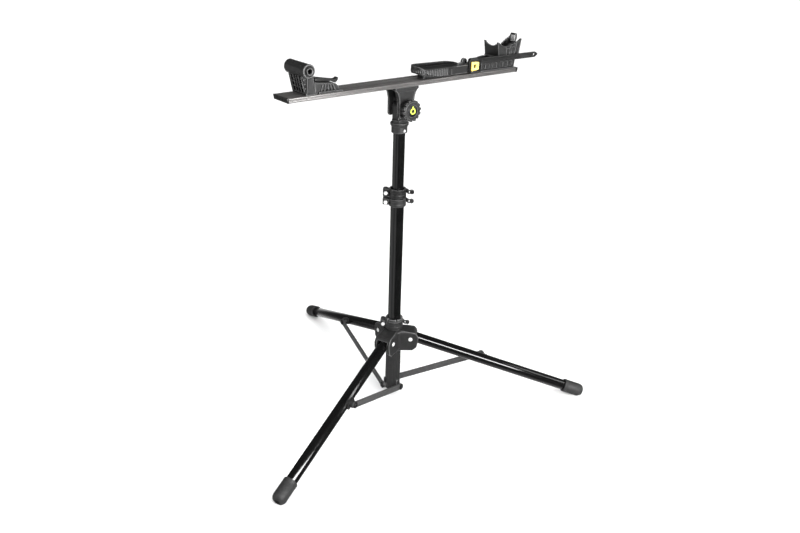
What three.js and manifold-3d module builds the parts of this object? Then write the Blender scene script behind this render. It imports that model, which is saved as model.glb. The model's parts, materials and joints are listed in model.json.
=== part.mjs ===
// Folding bike repair stand: a three-legged base, a telescopic mast, and a tilting rail that holds a
// bicycle by its fork ends and its bottom bracket. Millimetres, +Z up, +X along the rail towards the
// bottom bracket cradle. The origin is on the floor, under the mast's axis.
import * as THREE from "three";
import { mergeVertices } from "three/addons/utils/BufferGeometryUtils.js";
import Module from "manifold-3d";

// ---------------------------------------------------------------- driving dimensions
const GAP = 0.3; // between pieces that touch

// tripod
const FOOT_RADIUS = 650; // mast axis to the middle of a foot
const FOOT_CENTRE_Z = 28; // the middle of a foot above the floor
const LEG_AZIMUTHS = [-36.95, 83.05, 203.05]; // degrees, anticlockwise from the rail's direction
const LEG_PIVOT_RADIUS = 57; // mast axis to a leg's pivot
const LEG_PIVOT_RISE = 209.3; // a leg's pivot above the middle of its foot
const LEG_TUBE_RADIUS = 18.5;
const LEG_WALL = 1.6;
const STRUT_BOLT_RADIUS = 315; // mast axis to the bolt that joins a strut to its leg
const STRUT_BASE_RADIUS = 6.5; // the strut's lower bolt, along its leg's direction
const STRUT_BASE_Z = 41;
const STRUT_INNER = 33; // a strut bar's inner face, beside its leg
const STRUT_THICKNESS = 5;
const STRUT_HALF_WIDTH = 11;
const STRUT_HEAD_RADIUS = 11;
const FOOT_TUBE_RADIUS = 23;
const FOOT_HALF_LENGTH = 37;
const FOOT_ROUNDING = 18;

// mast
const LOWER_TUBE_RADIUS = 22;
const UPPER_TUBE_RADIUS = 19;
const TUBE_WALL = 2;
const MAST_BOTTOM_Z = 29;
const SLEEVE_RADIUS = 26.3;
const HUB_BOTTOM_Z = 193;
const HUB_TOP_Z = 264.5;
const HUB_CROWN_Z = 270.5; // where the hoods' sloping tops meet the neck
const HUB_HALF_WIDTH = 29; // half the width of one leg hood
const HUB_HOOD_RADIUS = 27; // a hood's rounded end, about its leg's pivot
const HUB_CLAMP_Z = 272;
const HUB_CLAMP_HEIGHT = 30;
const STOP_CLAMP_Z = 718;
const STOP_CLAMP_HEIGHT = 25;
const HEIGHT_CLAMP_Z = 746.5;
const HEIGHT_CLAMP_HEIGHT = 29.5;
const LOWER_TUBE_TOP_Z = 769;
const CLAMP_AZIMUTH = -38.6; // direction of the paddles of the cam levers
const GUIDE_Z = 380; // foot of the bush on the end of the upper tube
const GUIDE_HEIGHT = 60;
const COLLAR_Z = 958;
const COLLAR_TOP_Z = 990;
const COLLAR_RADIUS = 25;
const COLLAR_FLARE_RADIUS = 29;

// head
const TILT_AXIS_Z = 1035.5;
const CHEEK_INNER = 20;
const NEAR_CHEEK_OUTER = 34; // the deep cheek, on the knob's side
const FAR_CHEEK_OUTER = 26;
const CHEEK_HALF_WIDTH = 28;
const CHEEK_DROP = 26; // from the tilt axis down to the cheeks' lower edge
const FLANGE_HALF_WIDTH = 44;
const KNOB_CORE_RADIUS = 28;
const KNOB_PLATE_RADIUS = 33;

// rail
const RAIL_TOP_Z = 1117.4;
const RAIL_THICKNESS = 14;
const RAIL_HALF_WIDTH = 37.75;
const RAIL_START_X = -411.5;
const RAIL_END_X = 456;
const FORK_CAP_UNDER_X = -414; // where the cap ends at the rail's underside
const FORK_CAP_TOP_X = -417;
const BB_CAP_UNDER_X = 461.6;
const BB_CAP_TOP_X = 466.6;

// fork mount
const FORK_AXIS_X = -353.6;
const FORK_AXIS_RISE = 68.3; // above the rail's top
const FORK_WIDTH = 110; // over the two axle rings, as a front hub for a 15 mm through axle
const FORK_TUBE_RADIUS = 19;
const FORK_BRACKET_HALF_WIDTH = 36;
const AXLE_BOSS_RADIUS = 10.6;
const AXLE_BORE_RADIUS = 7.7;
const LOCK_START_X = -311.8;
const LOCK_END_X = -232.8;
const LEVER_PIVOT_X = -316;
const LEVER_PIVOT_RISE = 37.5;
const LEVER_TIP_X = -230;

// bottom bracket cradle and strap
const SADDLE_TOP_X = 368.5; // outer face of the end wall at its two peaks
const SADDLE_FOOT_X = 377;
const SADDLE_END_X = 469;
const SADDLE_HALF_WIDTH = 32;
const SADDLE_WALL = 6;
const LOOP_START_X = 42;
const LOOP_END_X = 212;
const EYELET_X = 230;
const EYELET_RISE = 39;
const STRAP_Y = -39.5; // the strap's outer face
const STRAP_THICKNESS = 3;
const STRAP_TIP_X = 553;
const BUCKLE_START_X = 238;
const BUCKLE_END_X = 290;
const BUCKLE_HINGE_X = 249;
const BUCKLE_LEVER_END_X = 277;

// ---------------------------------------------------------------- solids
const wasm = await Module();
wasm.setup();
const DEGREE = Math.PI / 180;

function solid(geometry) {
  const bare = geometry.index ? geometry.toNonIndexed() : geometry.clone();
  bare.deleteAttribute("normal");
  bare.deleteAttribute("uv");
  const merged = mergeVertices(bare, 1e-4);
  return new wasm.Manifold(
    new wasm.Mesh({
      numProp: 3,
      vertProperties: new Float32Array(merged.attributes.position.array),
      triVerts: new Uint32Array(merged.index.array),
    }),
  );
}

function toGeometry(manifold) {
  const { vertProperties, triVerts } = manifold.getMesh();
  const geometry = new THREE.BufferGeometry();
  geometry.setAttribute("position", new THREE.BufferAttribute(new Float32Array(vertProperties), 3));
  geometry.setIndex(new THREE.BufferAttribute(new Uint32Array(triVerts), 1));
  geometry.computeVertexNormals();
  return geometry;
}

const join = (first, ...others) => others.reduce((sum, next) => sum.add(next), first);
const cut = (first, ...tools) => tools.reduce((rest, tool) => rest.subtract(tool), first);

function box(x0, x1, y0, y1, z0, z1) {
  const geometry = new THREE.BoxGeometry(x1 - x0, y1 - y0, z1 - z0);
  return solid(geometry.translate((x0 + x1) / 2, (y0 + y1) / 2, (z0 + z1) / 2));
}

// A round bar along an axis ("x", "y" or "z") from one place on it to another.
function rod(axis, radius, from, to, centre = [0, 0], sides = 24) {
  const geometry = new THREE.CylinderGeometry(radius, radius, to - from, sides);
  const middle = (from + to) / 2;
  if (axis === "z") geometry.rotateX(Math.PI / 2).translate(centre[0], centre[1], middle);
  if (axis === "y") geometry.translate(centre[0], middle, centre[1]);
  if (axis === "x") geometry.rotateZ(Math.PI / 2).translate(middle, centre[0], centre[1]);
  return solid(geometry);
}

function pipe(outer, inner, from, to, sides = 24) {
  return cut(rod("z", outer, from, to, [0, 0], sides), rod("z", inner, from - 1, to + 1, [0, 0], sides));
}

function shapeOf(points) {
  return new THREE.Shape(points.map(([x, y]) => new THREE.Vector2(x, y)));
}

// A flat outline in X and Z, given its thickness along Y.
function plateXZ(outline, y0, y1, curveSegments = 8) {
  const shape = Array.isArray(outline) ? shapeOf(outline) : outline;
  const geometry = new THREE.ExtrudeGeometry(shape, {
    depth: y1 - y0,
    bevelEnabled: false,
    curveSegments,
  });
  return solid(geometry.rotateX(Math.PI / 2).translate(0, y1, 0));
}

// A flat outline in X and Y, given its thickness along Z.
function plateXY(outline, z0, z1, curveSegments = 8) {
  const shape = Array.isArray(outline) ? shapeOf(outline) : outline;
  const geometry = new THREE.ExtrudeGeometry(shape, {
    depth: z1 - z0,
    bevelEnabled: false,
    curveSegments,
  });
  return solid(geometry.translate(0, 0, z0));
}

// A flat outline in Y and Z, given its thickness along X.
function plateYZ(outline, x0, x1, curveSegments = 8) {
  const shape = Array.isArray(outline) ? shapeOf(outline) : outline;
  const geometry = new THREE.ExtrudeGeometry(shape, {
    depth: x1 - x0,
    bevelEnabled: false,
    curveSegments,
  });
  return solid(geometry.rotateX(Math.PI / 2).rotateZ(Math.PI / 2).translate(x0, 0, 0));
}

// A capsule-shaped outline between two points.
function capsule(from, to, radius) {
  const angle = Math.atan2(to[1] - from[1], to[0] - from[0]);
  const shape = new THREE.Shape();
  shape.absarc(to[0], to[1], radius, angle - Math.PI / 2, angle + Math.PI / 2, false);
  shape.absarc(from[0], from[1], radius, angle + Math.PI / 2, angle + (3 * Math.PI) / 2, false);
  shape.closePath();
  return shape;
}

function lathe(profile, sides = 24) {
  const points = profile.map(([radius, height]) => new THREE.Vector2(radius, height));
  return new THREE.LatheGeometry(points, sides).rotateX(Math.PI / 2);
}

// ---------------------------------------------------------------- materials
function finish(color, roughness, metalness) {
  return () => new THREE.MeshStandardMaterial({ color, roughness, metalness });
}
const glossBlack = finish(0x121212, 0.25, 0.3);
const casting = finish(0x3c3c3d, 0.55, 0.1);
const blackPlastic = finish(0x191919, 0.5, 0);
const rubber = finish(0x3a3a3a, 0.85, 0);
const strutGrey = finish(0x5d5d5f, 0.45, 0.6);
const railGrey = finish(0x5a5654, 0.4, 0.7);
const steel = finish(0xc8c8ca, 0.2, 1);
const yellow = finish(0xf3d64f, 0.45, 0);
const padGrey = finish(0x9a9a9a, 0.7, 0);

const stand = new THREE.Group();

function place(name, manifold, material, parent = stand) {
  const mesh = new THREE.Mesh(toGeometry(manifold), material());
  mesh.name = name;
  parent.add(mesh);
  return mesh;
}

// ---------------------------------------------------------------- mast foot
const LEG_SLOPE = Math.atan2(LEG_PIVOT_RISE, FOOT_RADIUS - LEG_PIVOT_RADIUS);
const LEG_LENGTH = Math.hypot(LEG_PIVOT_RISE, FOOT_RADIUS - LEG_PIVOT_RADIUS);
const LEG_PIVOT_Z = FOOT_CENTRE_Z + LEG_PIVOT_RISE;
const STRUT_BOLT_ALONG = (STRUT_BOLT_RADIUS - LEG_PIVOT_RADIUS) / Math.cos(LEG_SLOPE);
const STRUT_BOLT_Z = LEG_PIVOT_Z - STRUT_BOLT_ALONG * Math.sin(LEG_SLOPE);

function turned(manifold, degrees) {
  return solid(toGeometry(manifold).rotateZ(degrees * DEGREE));
}

function buildMastFoot() {
  place(
    "lower_mast",
    pipe(LOWER_TUBE_RADIUS, LOWER_TUBE_RADIUS - TUBE_WALL, MAST_BOTTOM_Z + 4, LOWER_TUBE_TOP_Z),
    glossBlack,
  );

  // faceted sleeve with a lug for each strut
  let sleeve = cut(
    rod("z", SLEEVE_RADIUS, MAST_BOTTOM_Z, HUB_BOTTOM_Z - GAP, [0, 0], 12),
    rod("z", LOWER_TUBE_RADIUS + GAP, MAST_BOTTOM_Z - 1, HUB_BOTTOM_Z, [0, 0], 24),
  );
  for (const azimuth of LEG_AZIMUTHS) {
    const lug = cut(
      join(
        rod("y", 12, 10, STRUT_INNER - GAP, [STRUT_BASE_RADIUS, STRUT_BASE_Z], 16),
        box(STRUT_BASE_RADIUS - 8, STRUT_BASE_RADIUS + 8, 10, 25, MAST_BOTTOM_Z, STRUT_BASE_Z + 22),
      ),
      rod("z", LOWER_TUBE_RADIUS + GAP, 0, 300, [0, 0], 24),
    );
    sleeve = sleeve.add(turned(lug, azimuth));
  }
  for (const azimuth of LEG_AZIMUTHS) {
    const hole = rod("y", 4 + 2 * GAP, 25.5, STRUT_INNER + 1, [STRUT_BASE_RADIUS, STRUT_BASE_Z], 8);
    sleeve = sleeve.subtract(turned(hole, azimuth));
  }
  place("base_casting", sleeve, casting);

  const plug = join(
    rod("z", LOWER_TUBE_RADIUS - 0.2, MAST_BOTTOM_Z, MAST_BOTTOM_Z + 4 - GAP),
    rod("z", LOWER_TUBE_RADIUS - TUBE_WALL - GAP, MAST_BOTTOM_Z, MAST_BOTTOM_Z + 18),
  );
  place("base_plug", plug, blackPlastic);
}

// ---------------------------------------------------------------- sliding hub
function buildHub() {
  const pivot = [LEG_PIVOT_RADIUS, LEG_PIVOT_Z];
  const floorZ = HUB_BOTTOM_Z;
  let hub = rod("z", 37, floorZ + 6, HUB_TOP_Z, [0, 0], 24);
  const hood = new THREE.Shape();
  hood.moveTo(10, floorZ);
  hood.lineTo(pivot[0] + 10, floorZ);
  hood.lineTo(pivot[0] + HUB_HOOD_RADIUS, pivot[1] - 12);
  hood.absarc(pivot[0], pivot[1], HUB_HOOD_RADIUS, 0, Math.PI / 3, false);
  hood.lineTo(10, HUB_CROWN_Z);
  hood.closePath();
  const rounding = 15;
  const crown = new THREE.Shape();
  crown.moveTo(-HUB_HALF_WIDTH, floorZ);
  crown.lineTo(HUB_HALF_WIDTH, floorZ);
  crown.lineTo(HUB_HALF_WIDTH, HUB_CROWN_Z - rounding);
  crown.quadraticCurveTo(HUB_HALF_WIDTH, HUB_CROWN_Z, HUB_HALF_WIDTH - rounding, HUB_CROWN_Z);
  crown.lineTo(rounding - HUB_HALF_WIDTH, HUB_CROWN_Z);
  crown.quadraticCurveTo(-HUB_HALF_WIDTH, HUB_CROWN_Z, -HUB_HALF_WIDTH, HUB_CROWN_Z - rounding);
  crown.closePath();
  const shell = plateXZ(hood, -HUB_HALF_WIDTH, HUB_HALF_WIDTH, 6).intersect(plateYZ(crown, 0, 120, 4));

  // the leg swings from its working slope down to straight under its pivot
  const swing = LEG_TUBE_RADIUS + 2;
  const reach = 70;
  const direction = (angle, along, aside) => [
    pivot[0] + along * Math.cos(angle) - aside * Math.sin(angle),
    pivot[1] + along * Math.sin(angle) + aside * Math.cos(angle),
  ];
  const slot = plateXZ(
    [
      direction(-LEG_SLOPE, 0, swing),
      direction(-Math.PI / 2, 0, -swing),
      direction(-Math.PI / 2, reach, -swing),
      direction(-LEG_SLOPE, reach, -reach),
      direction(-LEG_SLOPE, reach, swing),
    ],
    -LEG_TUBE_RADIUS - 1,
    LEG_TUBE_RADIUS + 1,
  );
  const round = rod("y", swing, -LEG_TUBE_RADIUS - 1, LEG_TUBE_RADIUS + 1, pivot, 20);
  const boltHole = rod("y", 4 + 2 * GAP, -40, 40, pivot, 8);
  for (const azimuth of LEG_AZIMUTHS) hub = hub.add(turned(shell, azimuth));

  // split neck that the clamp closes on
  const neckTop = HUB_CLAMP_Z + HUB_CLAMP_HEIGHT;
  hub = join(
    hub,
    rod("z", 26, HUB_TOP_Z - 1, neckTop + 4),
    rod("z", 30, neckTop + GAP, neckTop + 8),
  );
  hub = hub.subtract(rod("z", LOWER_TUBE_RADIUS + GAP, floorZ - 1, neckTop + 20));
  for (let i = 0; i < 6; i++) {
    const slit = box(20, 34, -2.5, 2.5, neckTop - 12, neckTop + 20);
    hub = hub.subtract(turned(slit, i * 60 + 10));
  }
  for (const azimuth of LEG_AZIMUTHS)
    for (const tool of [slot, round, boltHole]) hub = hub.subtract(turned(tool, azimuth));
  place("hub_casting", hub, casting);
}

// ---------------------------------------------------------------- legs and struts
function buildLeg(number, azimuth) {
  const side = new THREE.Group();
  side.rotation.z = azimuth * DEGREE;
  stand.add(side);
  const alongLeg = new THREE.Group();
  alongLeg.position.set(LEG_PIVOT_RADIUS, 0, LEG_PIVOT_Z);
  alongLeg.rotation.y = LEG_SLOPE;
  side.add(alongLeg);

  const head = HUB_HALF_WIDTH + GAP;
  const pivotBolt = join(
    rod("y", 4, -head - 1, head + 1, [LEG_PIVOT_RADIUS, LEG_PIVOT_Z], 8),
    rod("y", 7, -head - 3, -head, [LEG_PIVOT_RADIUS, LEG_PIVOT_Z], 12),
    rod("y", 7, head, head + 3, [LEG_PIVOT_RADIUS, LEG_PIVOT_Z], 12),
  );
  place(`leg_pivot_bolt_${number}`, pivotBolt, steel, side);

  const tubeEnd = LEG_LENGTH + 12;
  const tube = cut(
    rod("x", LEG_TUBE_RADIUS, -4, tubeEnd),
    rod("x", LEG_TUBE_RADIUS - LEG_WALL, 20, tubeEnd + 1),
    rod("y", 4 + 2 * GAP, -30, 30, [0, 0], 8),
  );
  place(`leg_tube_${number}`, tube, glossBlack, alongLeg);

  // saddle on the leg that carries the strut's upper bolt
  const lug = cut(
    join(
      rod("y", 12.5, 8, STRUT_INNER - GAP, [STRUT_BOLT_ALONG, 0], 16),
      box(STRUT_BOLT_ALONG - 20, STRUT_BOLT_ALONG + 20, 9, 23, -11, 11),
    ),
    rod("x", LEG_TUBE_RADIUS + GAP, STRUT_BOLT_ALONG - 40, STRUT_BOLT_ALONG + 40),
  );
  place(`leg_lug_${number}`, lug, casting, alongLeg);

  // rubber foot: a socket with a rounded end, worn flat where it meets the floor
  const tip = LEG_LENGTH + FOOT_HALF_LENGTH;
  const mouth = LEG_LENGTH - FOOT_HALF_LENGTH;
  const profile = [
    [0, tubeEnd + GAP],
    [LEG_TUBE_RADIUS + GAP, tubeEnd + GAP],
    [LEG_TUBE_RADIUS + GAP, mouth],
    [FOOT_TUBE_RADIUS - 0.8, mouth],
    [FOOT_TUBE_RADIUS, mouth + 1.5],
    [FOOT_TUBE_RADIUS, mouth + 12],
    [FOOT_TUBE_RADIUS - 0.6, mouth + 14],
  ];
  const ROUND_STEPS = 4;
  for (let i = 0; i <= ROUND_STEPS; i++) {
    const angle = (i / ROUND_STEPS) * (Math.PI / 2);
    profile.push([
      FOOT_TUBE_RADIUS - FOOT_ROUNDING + FOOT_ROUNDING * Math.cos(angle) + 3 * Math.sin(angle),
      tip - FOOT_ROUNDING + FOOT_ROUNDING * Math.sin(angle),
    ]);
  }
  profile.push([7, tip - 5], [0, tip - 5]);
  const foot = lathe(profile, 20).rotateY(Math.PI / 2);
  const floor = new THREE.BoxGeometry(2000, 400, 100).translate(0, 0, -50);
  floor.translate(-LEG_PIVOT_RADIUS, 0, -LEG_PIVOT_Z).rotateY(-LEG_SLOPE);
  place(`foot_${number}`, cut(solid(foot), solid(floor)), rubber, alongLeg);

  buildStrut(number, side);
}

function buildStrut(number, side) {
  const base = [STRUT_BASE_RADIUS, STRUT_BASE_Z];
  const top = [STRUT_BOLT_RADIUS, STRUT_BOLT_Z];
  const outer = STRUT_INNER + STRUT_THICKNESS;
  const bar = cut(
    plateXZ(capsule(base, top, STRUT_HALF_WIDTH), STRUT_INNER, outer, 8),
    rod("y", 4 + 2 * GAP, STRUT_INNER - 1, outer + 1, base, 8),
    rod("y", 4 + 2 * GAP, STRUT_INNER - 1, outer + 1, top, 8),
  );
  place(`strut_${number}`, bar, strutGrey, side);

  for (const [name, at, inner] of [
    ["base", base, STRUT_INNER - 7],
    ["top", top, STRUT_INNER],
  ]) {
    const bolt = join(
      rod("y", 4, inner, outer + 1, at, 8),
      rod("y", STRUT_HEAD_RADIUS, outer + GAP, outer + 3.2, at, 16),
      rod("y", STRUT_HEAD_RADIUS - 3.5, outer + GAP, outer + 5, at, 12),
    );
    place(`strut_${name}_bolt_${number}`, bolt, casting, side);
  }
}

// ---------------------------------------------------------------- cam clamps
const CAM_X = -38; // the cam's upright pin, from the mast's axis
const CAM_Y = 20;
const CAM_RADIUS = 9;
const ARM_INNER = 33;
const ARM_OUTER = 37;
const PADDLE_X = 45.5;
const PADDLE_RADIUS = 8;

// A split collar, its bolt, and a cam lever that wraps round the back to a round paddle.
function buildClamp(name, lowZ, height, boreRadius, outerRadius, material, leverMaterial) {
  const group = new THREE.Group();
  group.rotation.z = CLAMP_AZIMUTH * DEGREE;
  stand.add(group);
  const topZ = lowZ + height;
  const middleZ = (lowZ + topZ) / 2;

  const ears = plateXY(capsule([CAM_X, 0], [-10, 0], 10), lowZ + 3, topZ - 3, 5);
  const collar = cut(
    join(rod("z", outerRadius, lowZ, topZ), ears),
    rod("z", boreRadius, lowZ - 1, topZ + 1),
    box(-60, -10, -1.5, 1.5, lowZ - 1, topZ + 1),
    rod("y", 3 + 2 * GAP, -20, 20, [CAM_X, middleZ], 8),
  );
  place(`${name}_clamp`, collar, material, group);

  const bolt = join(
    rod("y", 3, -12, 10, [CAM_X, middleZ], 8),
    rod("y", 6.5, -16, -10.6, [CAM_X, middleZ], 6),
  );
  place(`${name}_clamp_bolt`, bolt, steel, group);

  const arm = new THREE.Shape();
  arm.absarc(0, 0, ARM_OUTER, 14 * DEGREE, 150 * DEGREE, false);
  arm.absarc(0, 0, ARM_INNER, 150 * DEGREE, 14 * DEGREE, true);
  arm.closePath();
  const lever = cut(
    join(
      plateXY(arm, middleZ - 7, middleZ + 7, 12),
      rod("z", CAM_RADIUS, middleZ - 9, middleZ + 9, [CAM_X, CAM_Y], 16),
      box(33, 42, 4, 9, middleZ - 6.5, middleZ + 6.5),
      rod("y", PADDLE_RADIUS, 3, 9.5, [PADDLE_X, middleZ], 20),
    ),
    box(ARM_OUTER - 0.5, ARM_OUTER + 2.1, 0, 12, middleZ - 3.6, middleZ + 3.6),
  );
  place(`${name}_lever`, lever, leverMaterial, group);
}

function buildClamps() {
  const bore = LOWER_TUBE_RADIUS + GAP;
  buildClamp("hub", HUB_CLAMP_Z, HUB_CLAMP_HEIGHT, 26 + GAP, 31, casting, casting);
  buildClamp("stop", STOP_CLAMP_Z, STOP_CLAMP_HEIGHT, bore, 28, casting, casting);
  buildClamp("height", HEIGHT_CLAMP_Z, HEIGHT_CLAMP_HEIGHT, bore, 28, blackPlastic, blackPlastic);
}

// ---------------------------------------------------------------- upper mast and head
function buildUpperMast() {
  const guide = pipe(
    LOWER_TUBE_RADIUS - TUBE_WALL - 0.4,
    UPPER_TUBE_RADIUS - TUBE_WALL - 3,
    GUIDE_Z,
    GUIDE_Z + GUIDE_HEIGHT,
  );
  place("mast_guide", guide, blackPlastic);

  place(
    "upper_mast",
    pipe(
      UPPER_TUBE_RADIUS,
      UPPER_TUBE_RADIUS - TUBE_WALL,
      GUIDE_Z + GUIDE_HEIGHT + GAP,
      COLLAR_TOP_Z - 6,
    ),
    glossBlack,
  );

  const stem = new THREE.Shape();
  stem.moveTo(-17, COLLAR_TOP_Z - 8);
  stem.lineTo(17, COLLAR_TOP_Z - 8);
  stem.absarc(0, TILT_AXIS_Z, 17, 0, Math.PI, false);
  stem.closePath();
  const neck = rod("z", COLLAR_RADIUS - 1, COLLAR_TOP_Z - 5, COLLAR_TOP_Z + 9);
  const flared = lathe([
    [0, COLLAR_Z],
    [COLLAR_RADIUS, COLLAR_Z],
    [COLLAR_RADIUS, COLLAR_TOP_Z - 14],
    [COLLAR_FLARE_RADIUS, COLLAR_TOP_Z - 6],
    [COLLAR_FLARE_RADIUS, COLLAR_TOP_Z],
    [0, COLLAR_TOP_Z],
  ]);
  const neckSides = box(-30, 30, -CHEEK_INNER + 0.6, CHEEK_INNER - 0.6, 900, 1200);
  const collar = cut(
    join(
      solid(flared),
      neck.intersect(neckSides),
      plateXZ(stem, -CHEEK_INNER + 4, CHEEK_INNER - 4, 6),
    ),
    rod("z", UPPER_TUBE_RADIUS + GAP, COLLAR_Z - 1, COLLAR_TOP_Z - 5.5),
    rod("y", 4 + 2 * GAP, -40, 40, [0, TILT_AXIS_Z], 8),
    rod("y", 2.5 + 2 * GAP, -30, -19, [0, COLLAR_Z + 9], 8),
  );
  place("head_collar", collar, casting);

  const screw = join(
    rod("y", 2.5, -25.6, -UPPER_TUBE_RADIUS - GAP, [0, COLLAR_Z + 9], 8),
    rod("y", 4.2, -28.2, -COLLAR_RADIUS - GAP, [0, COLLAR_Z + 9], 12),
  );
  place("collar_screw", screw, steel);
}

function buildTiltHead() {
  const railUnder = RAIL_TOP_Z - RAIL_THICKNESS - GAP;
  const cheekBottom = TILT_AXIS_Z - CHEEK_DROP;
  const corner = 8;
  const cheek = new THREE.Shape();
  cheek.moveTo(-CHEEK_HALF_WIDTH + corner, cheekBottom);
  cheek.lineTo(CHEEK_HALF_WIDTH - corner, cheekBottom);
  cheek.absarc(CHEEK_HALF_WIDTH - corner, cheekBottom + corner, corner, -Math.PI / 2, 0, false);
  cheek.lineTo(CHEEK_HALF_WIDTH, TILT_AXIS_Z + 25);
  cheek.quadraticCurveTo(CHEEK_HALF_WIDTH + 4, railUnder - 12, FLANGE_HALF_WIDTH, railUnder - 8);
  cheek.lineTo(FLANGE_HALF_WIDTH, railUnder - 1);
  cheek.lineTo(-FLANGE_HALF_WIDTH, railUnder - 1);
  cheek.lineTo(-FLANGE_HALF_WIDTH, railUnder - 8);
  cheek.quadraticCurveTo(-CHEEK_HALF_WIDTH - 4, railUnder - 12, -CHEEK_HALF_WIDTH, TILT_AXIS_Z + 25);
  cheek.lineTo(-CHEEK_HALF_WIDTH, cheekBottom + corner);
  cheek.absarc(-CHEEK_HALF_WIDTH + corner, cheekBottom + corner, corner, Math.PI, Math.PI * 1.5, false);
  const bracket = cut(
    join(
      plateXZ(cheek, -NEAR_CHEEK_OUTER, -CHEEK_INNER, 6),
      plateXZ(cheek, CHEEK_INNER, FAR_CHEEK_OUTER, 6),
      box(-FLANGE_HALF_WIDTH, FLANGE_HALF_WIDTH, -34, 32, railUnder - 7, railUnder),
      box(-4, 4, -CHEEK_INNER - 1, CHEEK_INNER + 1, TILT_AXIS_Z + 24, railUnder - 4),
    ),
    rod("y", 4 + 2 * GAP, -40, 40, [0, TILT_AXIS_Z], 8),
  );
  place("rail_bracket", bracket, casting);

  const bolt = join(
    rod("y", 4, -44, FAR_CHEEK_OUTER + 2, [0, TILT_AXIS_Z], 8),
    rod("y", 8, FAR_CHEEK_OUTER + GAP, FAR_CHEEK_OUTER + 6, [0, TILT_AXIS_Z], 6),
  );
  place("tilt_bolt", bolt, steel);

  // lobed hand knob with a toothed front plate
  const lobes = new THREE.Shape();
  const LOBES = 9;
  const POINTS = 4;
  for (let i = 0; i < LOBES * POINTS; i++) {
    const angle = (i / (LOBES * POINTS)) * 2 * Math.PI;
    const radius = KNOB_CORE_RADIUS - 1.6 + 1.6 * Math.cos(angle * LOBES);
    const [x, z] = [radius * Math.cos(angle), TILT_AXIS_Z + radius * Math.sin(angle)];
    if (i === 0) lobes.moveTo(x, z);
    else lobes.lineTo(x, z);
  }
  const TEETH = 14;
  const teeth = new THREE.Shape();
  for (let i = 0; i < TEETH; i++) {
    const pitch = (2 * Math.PI) / TEETH;
    for (const [share, radius] of [
      [0, KNOB_PLATE_RADIUS],
      [0.5, KNOB_PLATE_RADIUS],
      [0.62, KNOB_PLATE_RADIUS - 4],
      [0.88, KNOB_PLATE_RADIUS - 4],
    ]) {
      const angle = (i + share) * pitch;
      const [x, z] = [radius * Math.cos(angle), TILT_AXIS_Z + radius * Math.sin(angle)];
      if (i === 0 && share === 0) teeth.moveTo(x, z);
      else teeth.lineTo(x, z);
    }
  }
  const knob = cut(
    join(plateXZ(lobes, -54, -NEAR_CHEEK_OUTER - GAP), plateXZ(teeth, -63, -53)),
    rod("y", 4 + 2 * GAP, -44.5, -20, [0, TILT_AXIS_Z], 8),
    rod("y", 18, -64, -61, [0, TILT_AXIS_Z], 20),
  );
  place("tilt_knob", knob, blackPlastic);
  place("knob_disc", rod("y", 17.5, -63.6, -61 - GAP, [0, TILT_AXIS_Z], 20), blackPlastic);
}

// ---------------------------------------------------------------- rail
function buildRail() {
  const under = RAIL_TOP_Z - RAIL_THICKNESS;
  const half = RAIL_HALF_WIDTH;
  const chamfer = 2;
  const section = [
    [-half + chamfer, under],
    [half - chamfer, under],
    [half, under + chamfer],
    [half, RAIL_TOP_Z - chamfer],
    [half - chamfer, RAIL_TOP_Z],
    [-half + chamfer, RAIL_TOP_Z],
    [-half, RAIL_TOP_Z - chamfer],
    [-half, under + chamfer],
  ];
  const wall = 2;
  const hollow = box(
    RAIL_START_X - 1,
    RAIL_END_X + 1,
    -half + wall,
    half - wall,
    under + wall,
    RAIL_TOP_Z - wall,
  );
  const ribs = join(
    box(RAIL_START_X, RAIL_END_X, -14, -12, under + 1, RAIL_TOP_Z - 1),
    box(RAIL_START_X, RAIL_END_X, 12, 14, under + 1, RAIL_TOP_Z - 1),
  );
  const rail = plateYZ(section, RAIL_START_X, RAIL_END_X).subtract(hollow).add(ribs);
  place("rail", rail, railGrey);

  for (const [name, face, underX, topX, corner] of [
    ["rail_cap_fork", RAIL_START_X, FORK_CAP_UNDER_X, FORK_CAP_TOP_X, 5],
    ["rail_cap_bb", RAIL_END_X, BB_CAP_UNDER_X, BB_CAP_TOP_X, 7],
  ]) {
    const out = Math.sign(topX - face);
    const inner = face + out * GAP;
    const slanted = plateXZ(
      [
        [inner, under],
        [underX, under],
        [topX, RAIL_TOP_Z],
        [inner, RAIL_TOP_Z],
      ],
      -half,
      half,
    );
    const plan = new THREE.Shape();
    plan.moveTo(inner, -half);
    plan.lineTo(topX - out * corner, -half);
    plan.quadraticCurveTo(topX, -half, topX, -half + corner);
    plan.lineTo(topX, half - corner);
    plan.quadraticCurveTo(topX, half, topX - out * corner, half);
    plan.lineTo(inner, half);
    plan.closePath();
    const plug = box(
      Math.min(inner, face - out * 10),
      Math.max(inner, face - out * 10),
      -11.6,
      11.6,
      under + wall + 0.4,
      RAIL_TOP_Z - wall - 0.4,
    );
    place(name, join(slanted.intersect(plateXY(plan, under - 1, RAIL_TOP_Z + 1)), plug), blackPlastic);
  }
}

// ---------------------------------------------------------------- fork mount
const atRise = (rise) => RAIL_TOP_Z + rise;

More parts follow.
